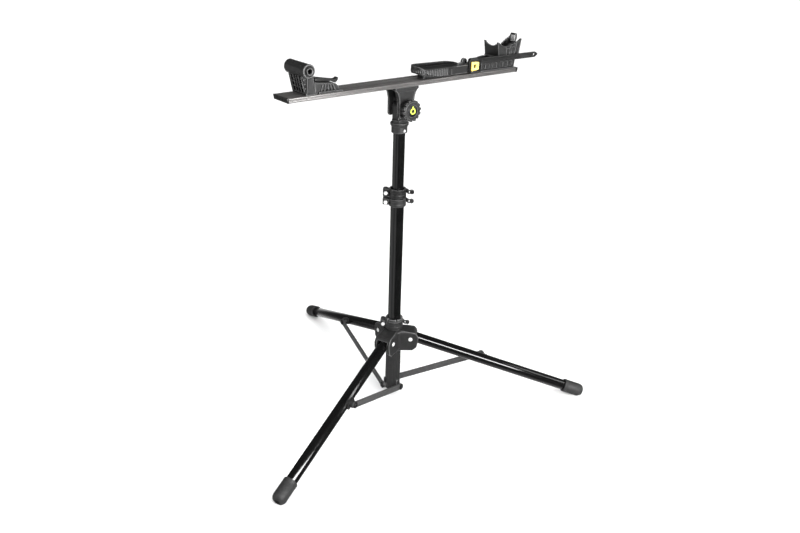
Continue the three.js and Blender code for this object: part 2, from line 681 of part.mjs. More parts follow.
function buildForkMount() {
  const base = atRise(GAP);
  const axisZ = atRise(FORK_AXIS_RISE);
  const half = FORK_BRACKET_HALF_WIDTH;
  const topZ = axisZ - 10;
  const rightFoot = FORK_AXIS_X + 29.5;
  const rightTop = FORK_AXIS_X + 19.5;

  // three leaning cheeks joined by a back wall, a sole and cross ribs
  const cheek = [
    [FORK_AXIS_X - 2, base],
    [rightFoot, base],
    [rightTop, topZ],
    [FORK_AXIS_X - 14, topZ - 6],
  ];
  const nearFace = [
    [FORK_AXIS_X + 1.6, base],
    [rightFoot, base],
    [rightTop, topZ],
    [FORK_AXIS_X + 1.6, topZ - 3],
  ];
  const nearCheek = wasm.Manifold.hull([
    plateXZ(nearFace, -half, -half + 1),
    plateXZ(cheek, -half + 8, -half + 9),
  ]);
  const backWall = [
    [rightFoot - 8, base],
    [rightFoot, base],
    [rightTop, topZ],
    [rightTop - 8, topZ],
  ];
  let bracket = join(
    nearCheek,
    plateXZ(cheek, half - 9, half),
    plateXZ(cheek, -3, 3),
    plateXZ(backWall, -half, half),
    box(FORK_AXIS_X - 2, rightFoot, -half, half, base, base + 6),
    box(FORK_AXIS_X - 2.4, rightFoot + 2, -half - 2, 0, base, base + 2.4),
  );
  for (const rise of [18, 30, 42]) {
    const lean = 0.2 * rise;
    bracket = bracket.add(
      box(FORK_AXIS_X - lean, rightFoot - lean, 3 - half, half - 3, atRise(rise), atRise(rise + 2.4)),
    );
  }
  bracket = cut(bracket, rod("y", FORK_TUBE_RADIUS + GAP, -60, 60, [FORK_AXIS_X, axisZ], 24));
  place("fork_bracket", bracket, casting);

  const barrel = FORK_WIDTH / 2 - 9;
  const tube = cut(
    rod("y", FORK_TUBE_RADIUS, -barrel, barrel, [FORK_AXIS_X, axisZ], 24),
    rod("y", 11, -60, 60, [FORK_AXIS_X, axisZ], 16),
  );
  place("fork_tube", tube, casting);

  // bevelled end rings, each with a boss that the fork end rests against
  const shoulder = FORK_WIDTH / 2 - 4;
  const profile = [
    [AXLE_BORE_RADIUS, barrel + GAP],
    [FORK_TUBE_RADIUS + 0.2, barrel + GAP],
    [FORK_TUBE_RADIUS + 0.2, shoulder - 2.5],
    [15, shoulder],
    [AXLE_BOSS_RADIUS, shoulder],
    [AXLE_BOSS_RADIUS, FORK_WIDTH / 2],
    [AXLE_BORE_RADIUS, FORK_WIDTH / 2],
    [AXLE_BORE_RADIUS, barrel + GAP],
  ];
  for (const [name, out] of [
    ["axle_ring_near", -1],
    ["axle_ring_far", 1],
  ]) {
    const ring = lathe(profile, 20).rotateX((-out * Math.PI) / 2);
    place(name, solid(ring.translate(FORK_AXIS_X, 0, axisZ)), casting);
  }

  buildRailLock(rightFoot, base);
}

function buildRailLock(bracketEnd, base) {
  // wedge-shaped housing on a flange, with ribs down both sides
  const start = bracketEnd + 3;
  let housing = join(
    box(LOCK_START_X, LOCK_END_X, -34, 34, base, atRise(5)),
    plateXZ(
      [
        [start, base],
        [LOCK_END_X - 4, base],
        [LOCK_END_X - 15.5, atRise(19)],
        [LOCK_END_X - 24, atRise(24)],
        [LOCK_END_X - 29, atRise(25)],
        [LEVER_PIVOT_X, atRise(31.5)],
        [start, atRise(31.5)],
      ],
      -29,
      29,
    ),
  );
  const RIBS = 5;
  for (let i = 0; i < RIBS; i++) {
    const foot = -307 + i * 12;
    const head = -300 + i * 8.2;
    const rib = [
      [foot, atRise(4)],
      [foot + 4, atRise(4)],
      [head + 3, atRise(25.5 - i * 0.9)],
      [head, atRise(25.5 - i * 0.9)],
    ];
    housing = join(housing, plateXZ(rib, -33, -28), plateXZ(rib, 28, 33));
  }
  place("lock_housing", housing, casting);

  // flat cam lever that narrows to an upturned thumb tab
  const pivotZ = atRise(LEVER_PIVOT_RISE);
  const side = new THREE.Shape();
  side.moveTo(LEVER_PIVOT_X, pivotZ - 3.5);
  side.lineTo(LEVER_PIVOT_X + 54, atRise(27));
  side.quadraticCurveTo(LEVER_PIVOT_X + 62, atRise(26), LEVER_PIVOT_X + 73, atRise(20));
  side.quadraticCurveTo(LEVER_TIP_X - 4, atRise(22), LEVER_TIP_X, atRise(33));
  side.lineTo(LEVER_TIP_X - 3, atRise(34.5));
  side.quadraticCurveTo(LEVER_TIP_X - 8, atRise(29), LEVER_TIP_X - 15, atRise(30));
  side.lineTo(LEVER_PIVOT_X + 48, atRise(33));
  side.lineTo(LEVER_PIVOT_X, pivotZ + 3.5);
  side.absarc(LEVER_PIVOT_X, pivotZ, 3.5, Math.PI / 2, (3 * Math.PI) / 2, false);
  const plan = [
    [LEVER_PIVOT_X - 5, -25],
    [LEVER_PIVOT_X + 10, -25],
    [LEVER_TIP_X - 14, -9],
    [LEVER_TIP_X + 1, -7],
    [LEVER_TIP_X + 1, 7],
    [LEVER_TIP_X - 14, 9],
    [LEVER_PIVOT_X + 10, 25],
    [LEVER_PIVOT_X - 5, 25],
  ];
  const lever = plateXZ(side, -27, 27, 8).intersect(plateXY(plan, atRise(10), atRise(60)));
  place("lock_lever", lever, casting);
}

// ---------------------------------------------------------------- bottom bracket cradle
const SADDLE_LOW_RISE = 38 + GAP;

function buildCradle() {
  buildCarriage();
  buildSaddle();
  buildJaw();
}

function buildCarriage() {
  const base = atRise(GAP);
  const side = [
    [262, base],
    [452, base],
    [458, atRise(38)],
    [352, atRise(38)],
    [318, atRise(30)],
    [276, atRise(14)],
    [262, atRise(12)],
  ];
  let carriage = plateXZ(side, -30, 30);
  const POCKETS = 5;
  for (let i = 0; i < POCKETS; i++) {
    const x = 301 + i * 17;
    carriage = carriage.subtract(plateXZ(capsule([x, atRise(10)], [x, atRise(20)], 3), -31, -26, 4));
  }
  const sole = box(300, 450, -36, 36, base, atRise(4));
  const buckleNotch = box(256, 284, -31, -20, atRise(4), atRise(42));
  place("bb_carriage", cut(join(carriage, sole), buckleNotch), blackPlastic);
}

// a tall near wall and a low far wall, a leaning end wall with two peaks, and a floor
function buildSaddle() {
  const low = atRise(SADDLE_LOW_RISE);
  const half = SADDLE_HALF_WIDTH;
  const inner = half - SADDLE_WALL;
  const nearWall = new THREE.Shape();
  nearWall.moveTo(SADDLE_FOOT_X, low);
  nearWall.lineTo(SADDLE_END_X, low);
  nearWall.lineTo(SADDLE_END_X + 9, atRise(91.5));
  nearWall.lineTo(SADDLE_END_X + 4, atRise(92));
  nearWall.quadraticCurveTo(SADDLE_END_X - 13, atRise(79), 428, atRise(76));
  nearWall.quadraticCurveTo(414, atRise(71), 402, atRise(72));
  nearWall.quadraticCurveTo(388, atRise(74), SADDLE_TOP_X + 5, atRise(86.5));
  nearWall.lineTo(SADDLE_TOP_X, atRise(86.5));
  const farWall = new THREE.Shape();
  farWall.moveTo(SADDLE_FOOT_X, low);
  farWall.lineTo(SADDLE_END_X, low);
  farWall.lineTo(SADDLE_END_X + 2, atRise(64));
  farWall.lineTo(408, atRise(64));
  farWall.quadraticCurveTo(388, atRise(66), SADDLE_TOP_X + 5, atRise(86.5));
  farWall.lineTo(SADDLE_TOP_X, atRise(86.5));
  const endOutline = new THREE.Shape();
  endOutline.moveTo(-half, low);
  endOutline.lineTo(half, low);
  endOutline.lineTo(half, atRise(86.5));
  endOutline.quadraticCurveTo(16, atRise(74), 0, atRise(73.5));
  endOutline.quadraticCurveTo(-16, atRise(74), -half, atRise(86.5));
  const lean = [
    [SADDLE_FOOT_X, low],
    [SADDLE_FOOT_X + 7, low],
    [SADDLE_TOP_X + 7, atRise(87)],
    [SADDLE_TOP_X, atRise(87)],
  ];
  const endWall = plateYZ(endOutline, 360, 400, 6).intersect(plateXZ(lean, -half, half));
  let saddle = join(
    plateXZ(nearWall, -half, -inner, 6),
    plateXZ(farWall, inner, half, 6),
    endWall,
    box(SADDLE_FOOT_X + 2, SADDLE_END_X - 2, -half + 1, half - 1, low, low + 5),
  );
  // buttresses that stand out under the near wall's right-hand slope
  for (const [x, top, spread] of [
    [412, 69, -2],
    [426, 71, 4],
    [444, 75, 9],
  ]) {
    const buttress = [
      [x, atRise(47)],
      [x + 5, atRise(47)],
      [x + 5 + spread, atRise(top)],
      [x + spread, atRise(top)],
    ];
    saddle = saddle.add(plateXZ(buttress, -half - 3, -half + 0.5));
  }
  place("bb_saddle", saddle, blackPlastic);
}

// upright jaw with a rubber pad on its inner face and a ridge that runs down behind it
function buildJaw() {
  const foot = atRise(SADDLE_LOW_RISE + 5 + GAP);
  const padFace = 467.6;
  const block = plateXZ(
    [
      [400, foot],
      [456, foot],
      [468, atRise(62)],
      [477, atRise(90)],
      [476.5, atRise(104)],
      [472, atRise(106)],
      [padFace, atRise(101)],
      [padFace, atRise(78)],
      [440, atRise(72)],
    ],
    -11,
    8,
  );
  const ridge = plateXZ(
    [
      [404, foot],
      [456, foot],
      [470, atRise(80)],
      [474, atRise(105)],
      [472, atRise(106)],
      [465, atRise(95)],
      [448, atRise(88)],
      [430, atRise(76)],
    ],
    7.5,
    13,
  );
  place("bb_jaw", join(block, ridge), blackPlastic);
  place("bb_pad", box(padFace - GAP - 3, padFace - GAP, -11, 6, atRise(80), atRise(100)), padGrey);
}

// ---------------------------------------------------------------- strap
function stadium(x0, x1, y0, y1) {
  const radius = (y1 - y0) / 2;
  return capsule([x0 + radius, (y0 + y1) / 2], [x1 - radius, (y0 + y1) / 2], radius);
}

function buildStrap() {
  buildLoop();
  buildBuckle();

  // strap end, held on edge beside the cradle
  const low = atRise(28);
  const high = atRise(46);
  const middle = (low + high) / 2;
  const tail = plateXZ(
    [
      [BUCKLE_START_X + 3, low],
      [STRAP_TIP_X - 14, low],
      [STRAP_TIP_X, middle],
      [STRAP_TIP_X - 14, high],
      [BUCKLE_START_X + 3, high],
    ],
    STRAP_Y,
    STRAP_Y + STRAP_THICKNESS,
  );
  const tipHole = rod("y", 4, -50, -30, [STRAP_TIP_X - 18, middle], 12);
  place("strap_tail", cut(tail, tipHole), rubber);
}

// thick rubber tray over the rail, its free end raised, with a band to the buckle and a thin tongue
// to the eyelet
function buildLoop() {
  const [y0, y1] = [-37, 25];
  const rim = 9;
  const profile = [
    [LOOP_START_X - 1, atRise(18)],
    [60, atRise(12)],
    [110, atRise(3)],
    [LOOP_END_X + 1, atRise(3)],
    [LOOP_END_X + 1, atRise(36.5)],
    [LOOP_START_X - 1, atRise(40)],
  ];
  const crown = [
    [y0 - 1, atRise(0)],
    [y1 + 1, atRise(0)],
    [y1 + 1, atRise(45)],
    [-26, atRise(45)],
    [-26, atRise(37)],
    [y0 - 1, atRise(29)],
  ];
  const body = plateXY(stadium(LOOP_START_X, LOOP_END_X, y0, y1), atRise(0), atRise(50), 8);
  const recess = plateXY(
    stadium(LOOP_START_X + rim, LOOP_END_X - rim, y0 + rim + 2, y1 - rim),
    atRise(31),
    atRise(50),
    8,
  );
  const foot = box(70, 112, -22, 10, atRise(GAP), atRise(16));
  const band = box(LOOP_END_X - 40, BUCKLE_START_X - GAP, y0, -33, atRise(5), atRise(29));
  const tongue = plateXZ(
    [
      [LOOP_END_X - 8, atRise(12)],
      [EYELET_X - 2, atRise(24)],
      [EYELET_X, atRise(EYELET_RISE)],
      [LOOP_END_X - 8, atRise(36)],
    ],
    -30,
    -22,
  );
  const loop = cut(
    join(
      cut(body.intersect(plateXZ(profile, -50, 50)).intersect(plateYZ(crown, 0, 300)), recess),
      foot,
      band,
      tongue,
      rod("y", 11, -30, -22, [EYELET_X, atRise(EYELET_RISE)], 16),
    ),
    rod("y", 5.6, -40, -10, [EYELET_X, atRise(EYELET_RISE)], 12),
  );
  place("strap_loop", loop, rubber);

  const eyelet = cut(
    join(
      rod("y", 5.2, -33, -19, [EYELET_X, atRise(EYELET_RISE)], 12),
      rod("y", 7, -33, -30.3, [EYELET_X, atRise(EYELET_RISE)], 12),
    ),
    rod("y", 4.2, -40, -10, [EYELET_X, atRise(EYELET_RISE)], 12),
  );
  place("strap_eyelet", eyelet, blackPlastic);
}

function buildBuckle() {
  const body = join(
    box(BUCKLE_START_X, BUCKLE_END_X, -42, -33.5, atRise(7), atRise(49)),
    box(264, 278, -34, -20.6, atRise(10), atRise(34)),
  );
  const passage = box(
    BUCKLE_START_X - 10,
    BUCKLE_END_X + 10,
    STRAP_Y - GAP,
    STRAP_Y + STRAP_THICKNESS + GAP,
    atRise(28 - GAP),
    atRise(46 + GAP),
  );
  place("buckle_body", cut(body, passage), blackPlastic);

  const lever = join(
    box(BUCKLE_HINGE_X, BUCKLE_LEVER_END_X, -46.6, -42.4, atRise(11), atRise(38)),
    rod("z", 3.4, atRise(11), atRise(38), [BUCKLE_HINGE_X, -45.7], 12),
  );
  place("buckle_lever", lever, yellow);
}

// ---------------------------------------------------------------- assembly
buildMastFoot();
buildHub();
LEG_AZIMUTHS.forEach((azimuth, index) => buildLeg(index + 1, azimuth));
buildClamps();
buildUpperMast();
buildTiltHead();
buildRail();
buildForkMount();
buildCradle();
buildStrap();

export default stand;
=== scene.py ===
"""Folding bike repair stand: the looks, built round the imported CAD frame.

Shapes are built from short outlines in millimetres and stored in metres, in the row's frame:
+Z up, +X along the rail towards the bottom bracket cradle, -Y towards the hand knob.
"""

import json
import math

import bpy
from mathutils import Matrix, Vector


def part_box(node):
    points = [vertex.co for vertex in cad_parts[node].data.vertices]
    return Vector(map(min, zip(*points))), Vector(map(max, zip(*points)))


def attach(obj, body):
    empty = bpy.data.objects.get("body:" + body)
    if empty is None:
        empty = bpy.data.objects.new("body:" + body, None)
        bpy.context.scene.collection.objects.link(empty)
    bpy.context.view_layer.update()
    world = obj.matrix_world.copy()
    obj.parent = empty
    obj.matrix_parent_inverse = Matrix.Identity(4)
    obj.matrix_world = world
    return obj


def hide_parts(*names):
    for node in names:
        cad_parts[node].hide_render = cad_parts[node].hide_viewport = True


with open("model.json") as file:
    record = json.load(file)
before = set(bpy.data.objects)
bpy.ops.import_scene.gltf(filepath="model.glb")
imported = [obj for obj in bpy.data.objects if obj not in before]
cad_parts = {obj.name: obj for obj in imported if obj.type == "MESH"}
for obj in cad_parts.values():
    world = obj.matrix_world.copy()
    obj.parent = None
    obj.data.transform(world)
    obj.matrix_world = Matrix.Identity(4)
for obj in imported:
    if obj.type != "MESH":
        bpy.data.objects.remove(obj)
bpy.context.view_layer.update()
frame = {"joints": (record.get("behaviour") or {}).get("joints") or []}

MM = 0.001
JOINTS = {joint["name"]: joint for joint in frame["joints"]}


# --- places from the frame
def at(rise):
    """A height above the rail's top face."""
    return RAIL_TOP + rise


def above(*points):
    """An outline whose second numbers are heights above the rail's top face."""
    return [(x, at(rise)) for x, rise in points]


def node_box(node):
    """A CAD node's lowest and highest corners, in millimetres."""
    low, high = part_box(node)
    return low / MM, high / MM


def pivot(joint):
    return Vector(JOINTS[joint]["pos_m"]) / MM


LEGS = (1, 2, 3)
LEG_PIVOT_RADIUS = pivot("leg_fold_1").xy.length
LEG_PIVOT_Z = pivot("leg_fold_1").z
LEG_ANGLES = [math.atan2(pivot(f"leg_fold_{n}").y, pivot(f"leg_fold_{n}").x) for n in LEGS]
LEG_TUBE_RADIUS = 18.5
LEG_BORE_RADIUS = 16.9
LOWER_MAST_RADIUS = 22
LOWER_MAST_FIT = LOWER_MAST_RADIUS + 0.3
UPPER_MAST_RADIUS = 19
BOLT_RADIUS = 4
BOLT_HOLE = 4.6
FOOT_RADIUS = 650
FOOT_CENTRE_Z = 28
LEG_SLOPE = math.atan2(LEG_PIVOT_Z - FOOT_CENTRE_Z, FOOT_RADIUS - LEG_PIVOT_RADIUS)
LEG_LENGTH = math.hypot(LEG_PIVOT_Z - FOOT_CENTRE_Z, FOOT_RADIUS - LEG_PIVOT_RADIUS)
STRUT_FOOT_X = 6.5  # the struts' lower bolts, from the mast's axis
STRUT_HEAD_X = 315
STRUT_BOLT_ALONG = (STRUT_HEAD_X - LEG_PIVOT_RADIUS) / math.cos(LEG_SLOPE)
TILT_Z = pivot("rail_tilt").z
RAIL_LOW, RAIL_HIGH = node_box("rail")
RAIL_TOP = RAIL_HIGH.z
CLAMP_TURN = math.radians(-38.6)  # direction of the cam levers' paddles


# --- shells: (points, faces)
def moved(shell, matrix):
    return [matrix @ Vector(point) for point in shell[0]], shell[1]


def about_mast(angle):
    return Matrix.Rotation(angle, 4, "Z")


def turned(shell, angle):
    return moved(shell, about_mast(angle))


def shifted(shell, *offset):
    return moved(shell, Matrix.Translation(offset))


def block(x0, x1, y0, y1, z0, z1):
    points = [Vector((x, y, z)) for x in (x0, x1) for y in (y0, y1) for z in (z0, z1)]
    faces = [(0, 1, 3, 2), (4, 6, 7, 5), (0, 4, 5, 1), (2, 3, 7, 6), (0, 2, 6, 4), (1, 5, 7, 3)]
    return points, [list(face) for face in faces]


def prism(outline, low, high, plane="xz", far=None):
    """A flat outline given thickness: plane xz along Y, xy along Z, yz along X.

    The far end can have another outline with as many points.
    """
    place = {
        "xz": lambda a, b, depth: Vector((a, depth, b)),
        "xy": lambda a, b, depth: Vector((a, b, depth)),
        "yz": lambda a, b, depth: Vector((depth, a, b)),
    }[plane]
    count = len(outline)
    points = [place(a, b, low) for a, b in outline] + [place(a, b, high) for a, b in far or outline]
    area = sum(
        outline[i][0] * outline[(i + 1) % count][1] - outline[(i + 1) % count][0] * outline[i][1]
        for i in range(count)
    )
    ends = [list(range(count))[::-1], list(range(count, 2 * count))]
    sides = [[i, (i + 1) % count, count + (i + 1) % count, count + i] for i in range(count)]
    faces = ends + sides
    if (area < 0) != (plane == "xz"):
        faces = [face[::-1] for face in faces]
    return points, faces


def lathe(profile, centre, axis, sides=64):
    """A closed profile of (radius, height) turned about an axis through centre."""
    turn = Vector(axis).to_track_quat("Z", "Y").to_matrix().to_4x4()
    place = Matrix.Translation(centre) @ turn
    points, faces, rings = [], [], []
    for radius, height in profile:
        if radius < 1e-6:
            rings.append([len(points)])
            points.append(place @ Vector((0, 0, height)))
            continue
        rings.append(list(range(len(points), len(points) + sides)))
        for i in range(sides):
            angle = 2 * math.pi * i / sides
            points.append(place @ Vector((radius * math.cos(angle), radius * math.sin(angle), height)))
    closed = len(rings[0]) > 1
    for k in range(len(rings) if closed else len(rings) - 1):
        a, b = rings[k], rings[(k + 1) % len(rings)]
        for i in range(sides):
            j = (i + 1) % sides
            face = [a[i % len(a)], a[j % len(a)], b[j % len(b)], b[i % len(b)]]
            unique = list(dict.fromkeys(face))
            if len(unique) > 2:
                faces.append(unique)
    return points, faces


def rod(radius, start, end, sides=48, soft=0.0):
    """A round bar from one point to another, with its ends softened."""
    start, end = Vector(start), Vector(end)
    length = (end - start).length
    profile = [(0, 0), (radius - soft, 0)]
    if soft:
        profile += [(radius - 0.3 * soft, 0.3 * soft), (radius, soft), (radius, length - soft)]
        profile += [(radius - 0.3 * soft, length - 0.3 * soft)]
        profile += [(radius - soft, length), (0, length)]
    else:
        profile += [(radius, length), (0, length)]
    return lathe(profile, start, end - start, sides)


def post(radius, low, high, sides=48, soft=0.0):
    """A rod on the mast's axis."""
    return rod(radius, (0, 0, low), (0, 0, high), sides, soft)


def pin(radius, x, z, near, far, sides=48, soft=0.0):
    """A rod that runs across, along Y."""
    return rod(radius, (x, near, z), (x, far, z), sides, soft)


def pipe(outer, inner, start, end, soft, sides=64):
    start, end = Vector(start), Vector(end)
    length = (end - start).length
    profile = [(inner, 0), (outer - soft, 0), (outer, soft)]
    profile += [(outer, length - soft), (outer - soft, length), (inner, length)]
    return lathe(profile, start, end - start, sides)


# --- outlines
def arc(centre, radius, start, end, steps=12):
    """Points on an arc, angles in degrees."""
    turns = [math.radians(start + (end - start) * i / steps) for i in range(steps + 1)]
    return [(centre[0] + radius * math.cos(t), centre[1] + radius * math.sin(t)) for t in turns]


def curve(start, control, end, steps=8):
    """Points on a quadratic curve, without its first."""
    corners = list(zip(start, control, end))
    found = []
    for i in range(1, steps + 1):
        t = i / steps
        found.append(tuple((1 - t) ** 2 * s + 2 * t * (1 - t) * c + t * t * e for s, c, e in corners))
    return found


def bend(start, control, end, steps=8):
    """A curve whose second numbers are heights above the rail's top face."""
    return curve(*above(start, control, end), steps)


def capsule(start, end, radius, steps=14):
    """A bar with round ends, seen from the side."""
    angle = math.degrees(math.atan2(end[1] - start[1], end[0] - start[0]))
    near = arc(start, radius, angle + 90, angle + 270, steps)
    return arc(end, radius, angle - 90, angle + 90, steps) + near


def rounded(corners, radius, steps=5):
    """A polygon with its corners rounded; radius is one number or one for each corner."""
    count = len(corners)
    radii = radius if isinstance(radius, (list, tuple)) else [radius] * count
    outline = []
    for i, corner in enumerate(corners):
        here = Vector(corner)
        before = Vector(corners[i - 1]) - here
        after = Vector(corners[(i + 1) % count]) - here
        reach = min(radii[i], 0.45 * before.length, 0.45 * after.length)
        if reach < 0.01:
            outline.append(tuple(here))
            continue
        start = here + before.normalized() * reach
        end = here + after.normalized() * reach
        outline += [tuple(start)] + curve(tuple(start), tuple(here), tuple(end), steps)
    return outline


def plate(x0, x1, y0, y1, radius, steps=5):
    """A rounded rectangle."""
    return rounded([(x0, y0), (x1, y0), (x1, y1), (x0, y1)], radius, steps)


def stadium(x0, x1, y0, y1, steps):
    radius = (y1 - y0) / 2
    middle = (y0 + y1) / 2
    return capsule((x0 + radius, middle), (x1 - radius, middle), radius, steps)


# --- objects from shells
def raw_object(name, shell):
    mesh = bpy.data.meshes.new(name)
    mesh.from_pydata([tuple(point) for point in shell[0]], [], shell[1])
    mesh.validate()
    built = bpy.data.objects.new(name, mesh)
    bpy.context.scene.collection.objects.link(built)
    return built


def bake_modifiers(built):
    depsgraph = bpy.context.evaluated_depsgraph_get()
    mesh = bpy.data.meshes.new_from_object(built.evaluated_get(depsgraph))
    old = built.data
    built.modifiers.clear()
    built.data = mesh
    bpy.data.meshes.remove(old)


def discard(built):
    mesh = built.data
    bpy.data.objects.remove(built)
    bpy.data.meshes.remove(mesh)


def combine(built, shells, operation):
    tools = [raw_object("tool", shell) for shell in shells]
    for tool in tools:
        modifier = built.modifiers.new("boolean", "BOOLEAN")
        modifier.operation = operation
        modifier.solver = "MANIFOLD"
        modifier.object = tool
    bake_modifiers(built)
    for tool in tools:
        discard(tool)


def shell_of(built):
    """Takes an object back to a shell."""
    mesh = built.data
    points = [vertex.co.copy() for vertex in mesh.vertices]
    faces = [list(face.vertices) for face in mesh.polygons]
    discard(built)
    return points, faces


def trimmed(shell, *keeps):
    """What is left of a shell inside all the others."""
    built = raw_object("trimmed", shell)
    combine(built, keeps, "INTERSECT")
    return shell_of(built)


def remesh(built, voxel, smooth):
    """One even skin over a piece, relaxed so that its edges go round."""
    skin = built.modifiers.new("skin", "REMESH")
    skin.mode = "VOXEL"
    skin.voxel_size = voxel
    relax = built.modifiers.new("relax", "SMOOTH")
    relax.factor = 0.5
    relax.iterations = smooth
    bake_modifiers(built)


def build(name, shells, cuts, place, voxel, bevel, sharp):
    """One closed object: shells joined and cut, then its edges softened by a skin or a bevel."""
    if place is not None:
        shells = [moved(shell, place) for shell in shells]
        cuts = [moved(shell, place) for shell in cuts]
    built = raw_object(name, shells[0])
    if len(shells) > 1:
        combine(built, shells[1:], "UNION")
    if cuts:
        combine(built, cuts, "DIFFERENCE")
    if voxel:
        remesh(built, voxel, 2)
    if bevel:
        edge = built.modifiers.new("edge", "BEVEL")
        edge.width = bevel
        edge.segments = 2
        edge.limit_method = "ANGLE"
        edge.angle_limit = math.radians(sharp)
        edge.harden_normals = False
        bake_modifiers(built)
    built.data.transform(Matrix.Scale(MM, 4))
    built.data.shade_smooth()
    if not voxel:
        built.data.set_sharp_from_angle(angle=math.radians(sharp))
    return built


def make(name, body, look, node, shells, cuts=(), place=None, voxel=0.0, bevel=0.0, sharp=35):
    """A finished piece: its shape, its look, the body it rides on and the CAD node it stands for."""
    built = build(name, shells, cuts, place, voxel, bevel, sharp)
    material, slot = look
    built.data.materials.clear()
    built.data.materials.append(material)
    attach(built, body)
    if node:
        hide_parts(node)


# --- materials
EDGE_RANGE = (0.51, 0.555)  # pointiness at which the painted edge highlight starts, and at which it is full


def add_node(tree, kind, values, feeds, **settings):
    """A shader node with its settings, its input values and the outputs that feed it."""
    node = tree.nodes.new("ShaderNode" + kind)
    for name, value in settings.items():
        setattr(node, name, value)
    for name, value in values.items():
        node.inputs[name].default_value = value
    for name, output in feeds.items():
        tree.links.new(output, node.inputs[name])
    return node


def rgba(colour):
    return (*colour, 1) if isinstance(colour, tuple) else (colour, colour, colour, 1)


def finish(
    name, slot, colour, roughness, relief=None, metallic=0.0, specular=0.5, painted_edge_highlight=None, stretch=(1, 1, 1)
):
    """A procedural material and its slot.

    colour is (grain, detail, dark, light), roughness (grain, low, high) and relief (grain, detail, height,
    strength), with grains and height in millimetres; the edge colour is a painted highlight, a lighter
    colour laid on sharp edges.
    """
    material = bpy.data.materials.new(name)
    material.use_nodes = True
    tree = material.node_tree
    shader = tree.nodes["Principled BSDF"].inputs
    shader["Metallic"].default_value = metallic
    shader["Specular IOR Level"].default_value = specular
    place = tree.nodes.new("ShaderNodeTexCoord").outputs["Object"]

    def noise(grain, detail):
        mapping = add_node(tree, "Mapping", {"Scale": stretch}, {"Vector": place})
        values = {"Scale": 1 / (grain * MM), "Detail": detail}
        return add_node(tree, "TexNoise", values, {"Vector": mapping.outputs["Vector"]}).outputs["Fac"]

    def ramp(value, from_low, from_high, low, high):
        values = {"From Min": from_low, "From Max": from_high, "To Min": low, "To Max": high}
        return add_node(tree, "MapRange", values, {"Value": value}).outputs["Result"]

    grain, detail, dark, light = colour
    feeds = {"Factor": ramp(noise(grain, detail), 0.3, 0.7, 0, 1)}
    mix = add_node(tree, "Mix", {"A": rgba(dark), "B": rgba(light)}, feeds, data_type="RGBA")
    # sharp edges are lightened by pointiness: a painted highlight along the edges
    if painted_edge_highlight:
        pointiness = tree.nodes.new("ShaderNodeNewGeometry").outputs["Pointiness"]
        highlit_edges = ramp(pointiness, *EDGE_RANGE, 0, 0.8)
        feeds = {"A": mix.outputs["Result"], "Factor": highlit_edges}
        mix = add_node(tree, "Mix", {"B": rgba(painted_edge_highlight)}, feeds, data_type="RGBA")
    tree.links.new(mix.outputs["Result"], shader["Base Color"])

    grain, low, high = roughness
    tree.links.new(ramp(noise(grain, 3), 0.3, 0.7, low, high), shader["Roughness"])
    if relief:
        grain, detail, height, strength = relief
        values = {"Strength": strength, "Distance": height * MM}
        bump = add_node(tree, "Bump", values, {"Height": noise(grain, detail)})
        tree.links.new(bump.outputs["Normal"], shader["Normal"])
    return material, slot


casting = {"colour": (12, 3, 0.009, 0.015), "roughness": (3, 0.38, 0.52), "relief": (0.7, 2, 0.05, 0.35)}
black = {"colour": (10, 3, 0.003, 0.0055), "roughness": (2.5, 0.32, 0.46), "relief": (0.6, 2, 0.04, 0.35)}
strap = {"colour": (6, 3, 0.004, 0.0075), "roughness": (2, 0.38, 0.54), "relief": (0.7, 2, 0.05, 0.4)}

# CASTING, BLACK and LOOP have a painted highlight on their sharp edges; the PLAIN_ copies and STRAP are the
# same finishes without it
CASTING = finish("satin_grey_casting_edge_highlight", "casting_grey", **casting, specular=0.4, painted_edge_highlight=0.2)
PLAIN_CASTING = finish("satin_grey_turned", "casting_grey", **casting, specular=0.4)
BLACK = finish("satin_black_plastic_edge_highlight", "black_plastic", **black, specular=0.4, painted_edge_highlight=0.16)
PLAIN_BLACK = finish("satin_black_fitting", "black_plastic", **black, specular=0.4)
LOOP = finish("black_ribbed_rubber_edge_highlight", "rubber", **strap, specular=0.4, painted_edge_highlight=0.25)
STRAP = finish("black_strap_rubber", "rubber", **strap, specular=0.4)
TUBE = finish(
    "gloss_black_tube", "tube_black", (40, 2, 0.0015, 0.003), (9, 0.11, 0.18), (1.2, 2, 0.01, 0.15)
)
RUBBER = finish(
    "matte_rubber", "rubber", (7, 4, 0.014, 0.023), (2, 0.5, 0.68), (0.9, 3, 0.09, 0.5), specular=0.35
)
# light grey for the bore liners, and also the painted highlight line on the axle rings' bevels
LINER_AND_BEVEL_HIGHLIGHT = finish(
    "satin_grey_liner_and_bevel_highlight", "casting_grey", (8, 3, 0.07, 0.11), (2, 0.28, 0.4), (0.6, 2, 0.03, 0.3),
    specular=0.6,
)
STRUT = finish(
    "grey_anodised_bar", "strut_grey", (15, 3, 0.06, 0.085), (1.5, 0.36, 0.48), (0.5, 2, 0.02, 0.3),
    metallic=0.5, specular=0.4,
)
RAIL = finish(
    "brushed_dark_rail", "rail_anodised", (1.6, 3, (0.085, 0.0816, 0.07905), (0.15, 0.1455, 0.1425)),
    (0.9, 0.3, 0.44), (0.5, 2, 0.02, 0.4),
    metallic=0.55, specular=0.4, stretch=(0.02, 1, 1),
)
STEEL = finish(
    "bright_steel", "steel", (3, 2, 0.68, 0.8), (1, 0.24, 0.36), (0.4, 2, 0.01, 0.3), metallic=0.35
)
YELLOW = finish(
    "pale_yellow_plastic", "yellow_plastic", (5, 3, (0.84, 0.58, 0.11), (0.95, 0.73, 0.2)),
    (2, 0.36, 0.5), (0.6, 2, 0.04, 0.3),
)
